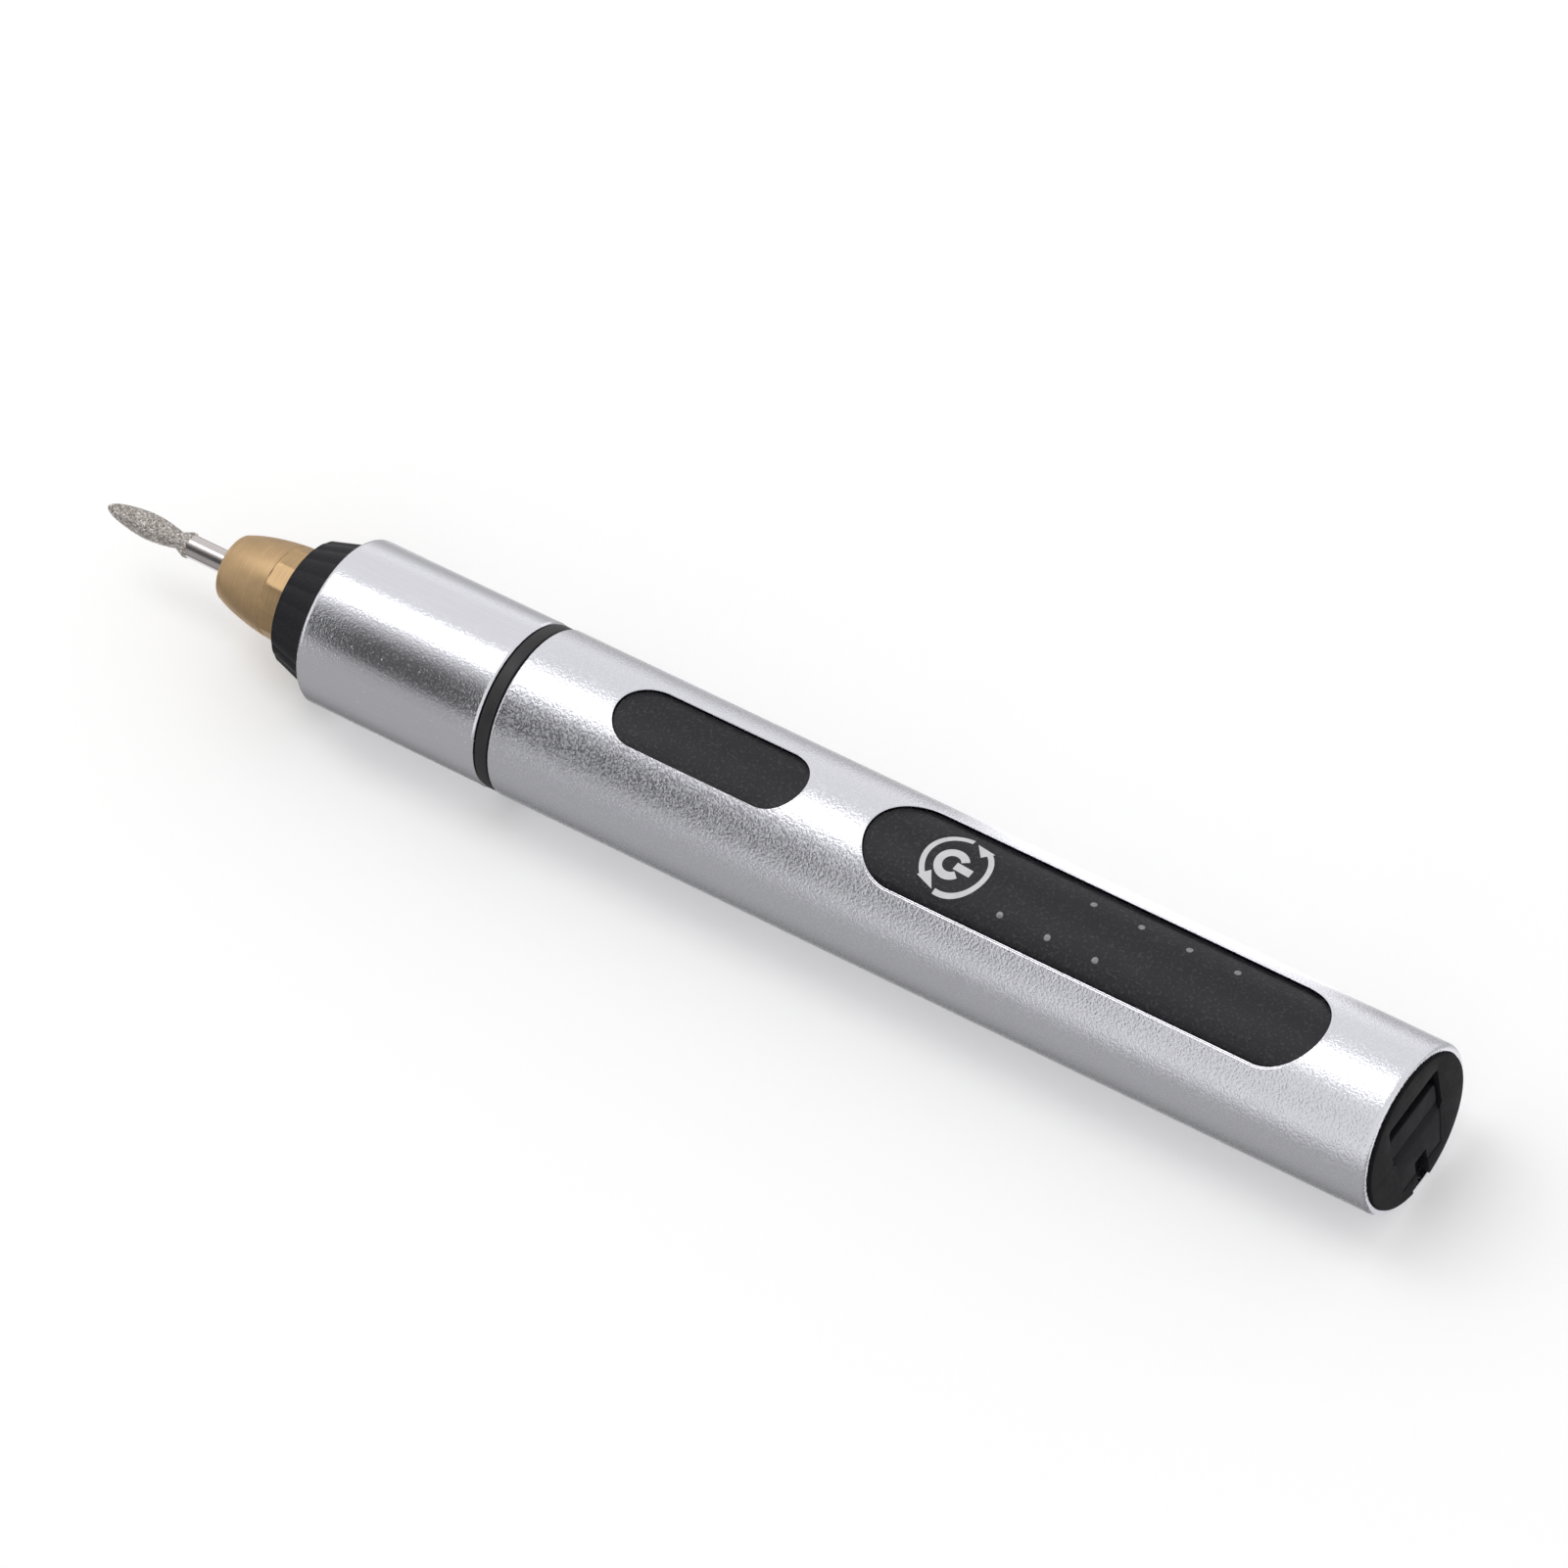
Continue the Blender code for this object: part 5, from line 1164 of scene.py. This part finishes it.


# A sheet that glows for glossy rays only: its graded level is a painted reflection in the metal, and it
# lights nothing else.
def reflectionCard(name, rows, levels, byAngle, lift=None):
    tree, _, place = startMaterial(name, 0.0)
    parts = separated(tree, "XYZ", place)
    if byAngle:
        height = calc(tree, "SUBTRACT", parts["Z"], axisZ)
        along = calc(tree, "DEGREES", calc(tree, "ARCTAN2", parts["Y"], height))
    else:
        along = times(tree, parts["Y"], perMm)
    level = gradedLevel(tree, name, levels, along)
    if lift:
        # One stretch of the far board is lighter, so the tube beside the long panel gleams white.
        lean = times(tree, parts["Y"], studio["far lift lean"])
        leaning = times(tree, calc(tree, "ADD", parts["X"], lean), perMm)
        level = calc(tree, "ADD", level, gradedLevel(tree, "lift", lift, leaning))
    light = node(tree, "Emission", {"Strength": level}).outputs[0]
    feed(tree, tree.nodes["Material Output"].inputs["Surface"], light)
    bm = bmesh.new()
    made = [[bm.verts.new(corner) for corner in row] for row in rows]
    for row, following in zip(made, made[1:]):
        bm.faces.new((row[0], row[1], following[1], following[0]))
    sheet = addPiece(name, bm, finishes[name])
    for way in ("camera", "diffuse", "shadow", "transmission", "volume_scatter"):
        setattr(sheet, "visible_" + way, False)


def buildFloor():
    tree, shader, place = startMaterial("paleFloor", 0.0)
    low, high = studio["floor roughness"]
    tone = useGroup(tree, "patchyTone", place, Scale=studio["floor patches"], Low=low, High=high)
    feed(tree, shader.inputs["Roughness"], tone["Level"])
    feed(tree, shader.inputs["Base Color"], studio["floor"])
    shader.inputs["Specular IOR Level"].default_value = studio["floor specular"]
    rays = node(tree, "LightPath").outputs
    seen = calc(tree, "MAXIMUM", rays["Is Camera Ray"], rays["Is Glossy Ray"])
    seen = calc(tree, "MAXIMUM", seen, rays["Is Transmission Ray"])
    feed(tree, shader.inputs["Emission Color"], (1, 1, 1))
    feed(tree, shader.inputs["Emission Strength"], times(tree, seen, studio["floor white"]))
    radius, rim = studio["floor radius"], studio["floor rim"]
    level = -studio["floor drop"] * mm
    bm = bmesh.new()
    rings = [[bm.verts.new((0, 0, level))]]
    for reach, height in roundedCorner(radius, level + rim, rim, -90, 0, 12):
        rings.append([bm.verts.new((x, y, height)) for x, y in circleOutline(0, 0, reach)])
    for first, second in zip(rings, rings[1:]):
        joinRings(bm, first, second)
    addPiece("floor", bm, finishes["paleFloor"])


def buildReflectionCards():
    radius = studio["hood radius"]
    frontEnd, tailEnd = studio["hood front end"], studio["hood tail end"]
    levels = studio["hood levels"]
    bow = roundedCorner(axisZ, 0, radius, levels[0][0], levels[-1][0], 24)
    reflectionCard("near_hood", [[(frontEnd, y, z), (tailEnd, y, z)] for z, y in bow], levels, True)
    low = -studio["board drop"] * mm
    for name, levels, lift in (("near_board", studio["near levels"], None),
                               ("far_board", studio["far levels"], studio["far lift"])):
        rows = [[(x, place * mm, low) for x in studio["board ends"]] for place, _ in levels]
        reflectionCard(name, rows, levels, False, lift)


def linkAt(name, data, spot, axes):
    holder = bpy.data.objects.new(name, data)
    bpy.context.scene.collection.objects.link(holder)
    holder.matrix_world = Matrix.Translation(spot) @ Matrix(axes).transposed().to_4x4()
    return holder


def buildLights():
    direction = Vector(studio["lamp direction"]).normalized()
    lamp = bpy.data.lights.new("softLamp", "AREA")
    lamp.shape = "RECTANGLE"
    lamp.size = studio["lamp length"]
    lamp.size_y = studio["lamp width"]
    lamp.energy = studio["lamp radiance"] * math.pi * lamp.size * lamp.size_y
    along = Vector((0, 1, 0)).cross(direction).normalized()
    axes = (along, direction.cross(along), direction)
    linkAt("softLamp", lamp, direction * studio["lamp distance"], axes).visible_camera = False
    world = bpy.data.worlds.new("plainSky")
    world.use_nodes = True
    bpy.context.scene.world = world
    sky = world.node_tree.nodes["Background"]
    sky.inputs["Color"].default_value = (1, 1, 1, 1)
    sky.inputs["Strength"].default_value = studio["sky"]


# Camera at the photograph's place

view = {
    "place": (0.44130, -0.45520, 0.83955),
    "right": (0.81933, 0.55977, -0.12394),
    "up": (-0.39012, 0.70274, 0.59495),
    "back": (0.42013, -0.43911, 0.79415),
    "lens": 259.09,
    "sensor": 36.0,
}


def buildCamera():
    camera = bpy.data.cameras.new("camera")
    camera.lens = view["lens"]
    camera.sensor_width = view["sensor"]
    camera.clip_start = 0.01
    camera.clip_end = 20
    axes = (view["right"], view["up"], view["back"])
    bpy.context.scene.camera = linkAt("camera", camera, view["place"], axes)


buildFloor()
buildReflectionCards()
buildLights()
buildCamera()
bpy.context.scene.view_settings.view_transform = "Standard"
print("studio ready")
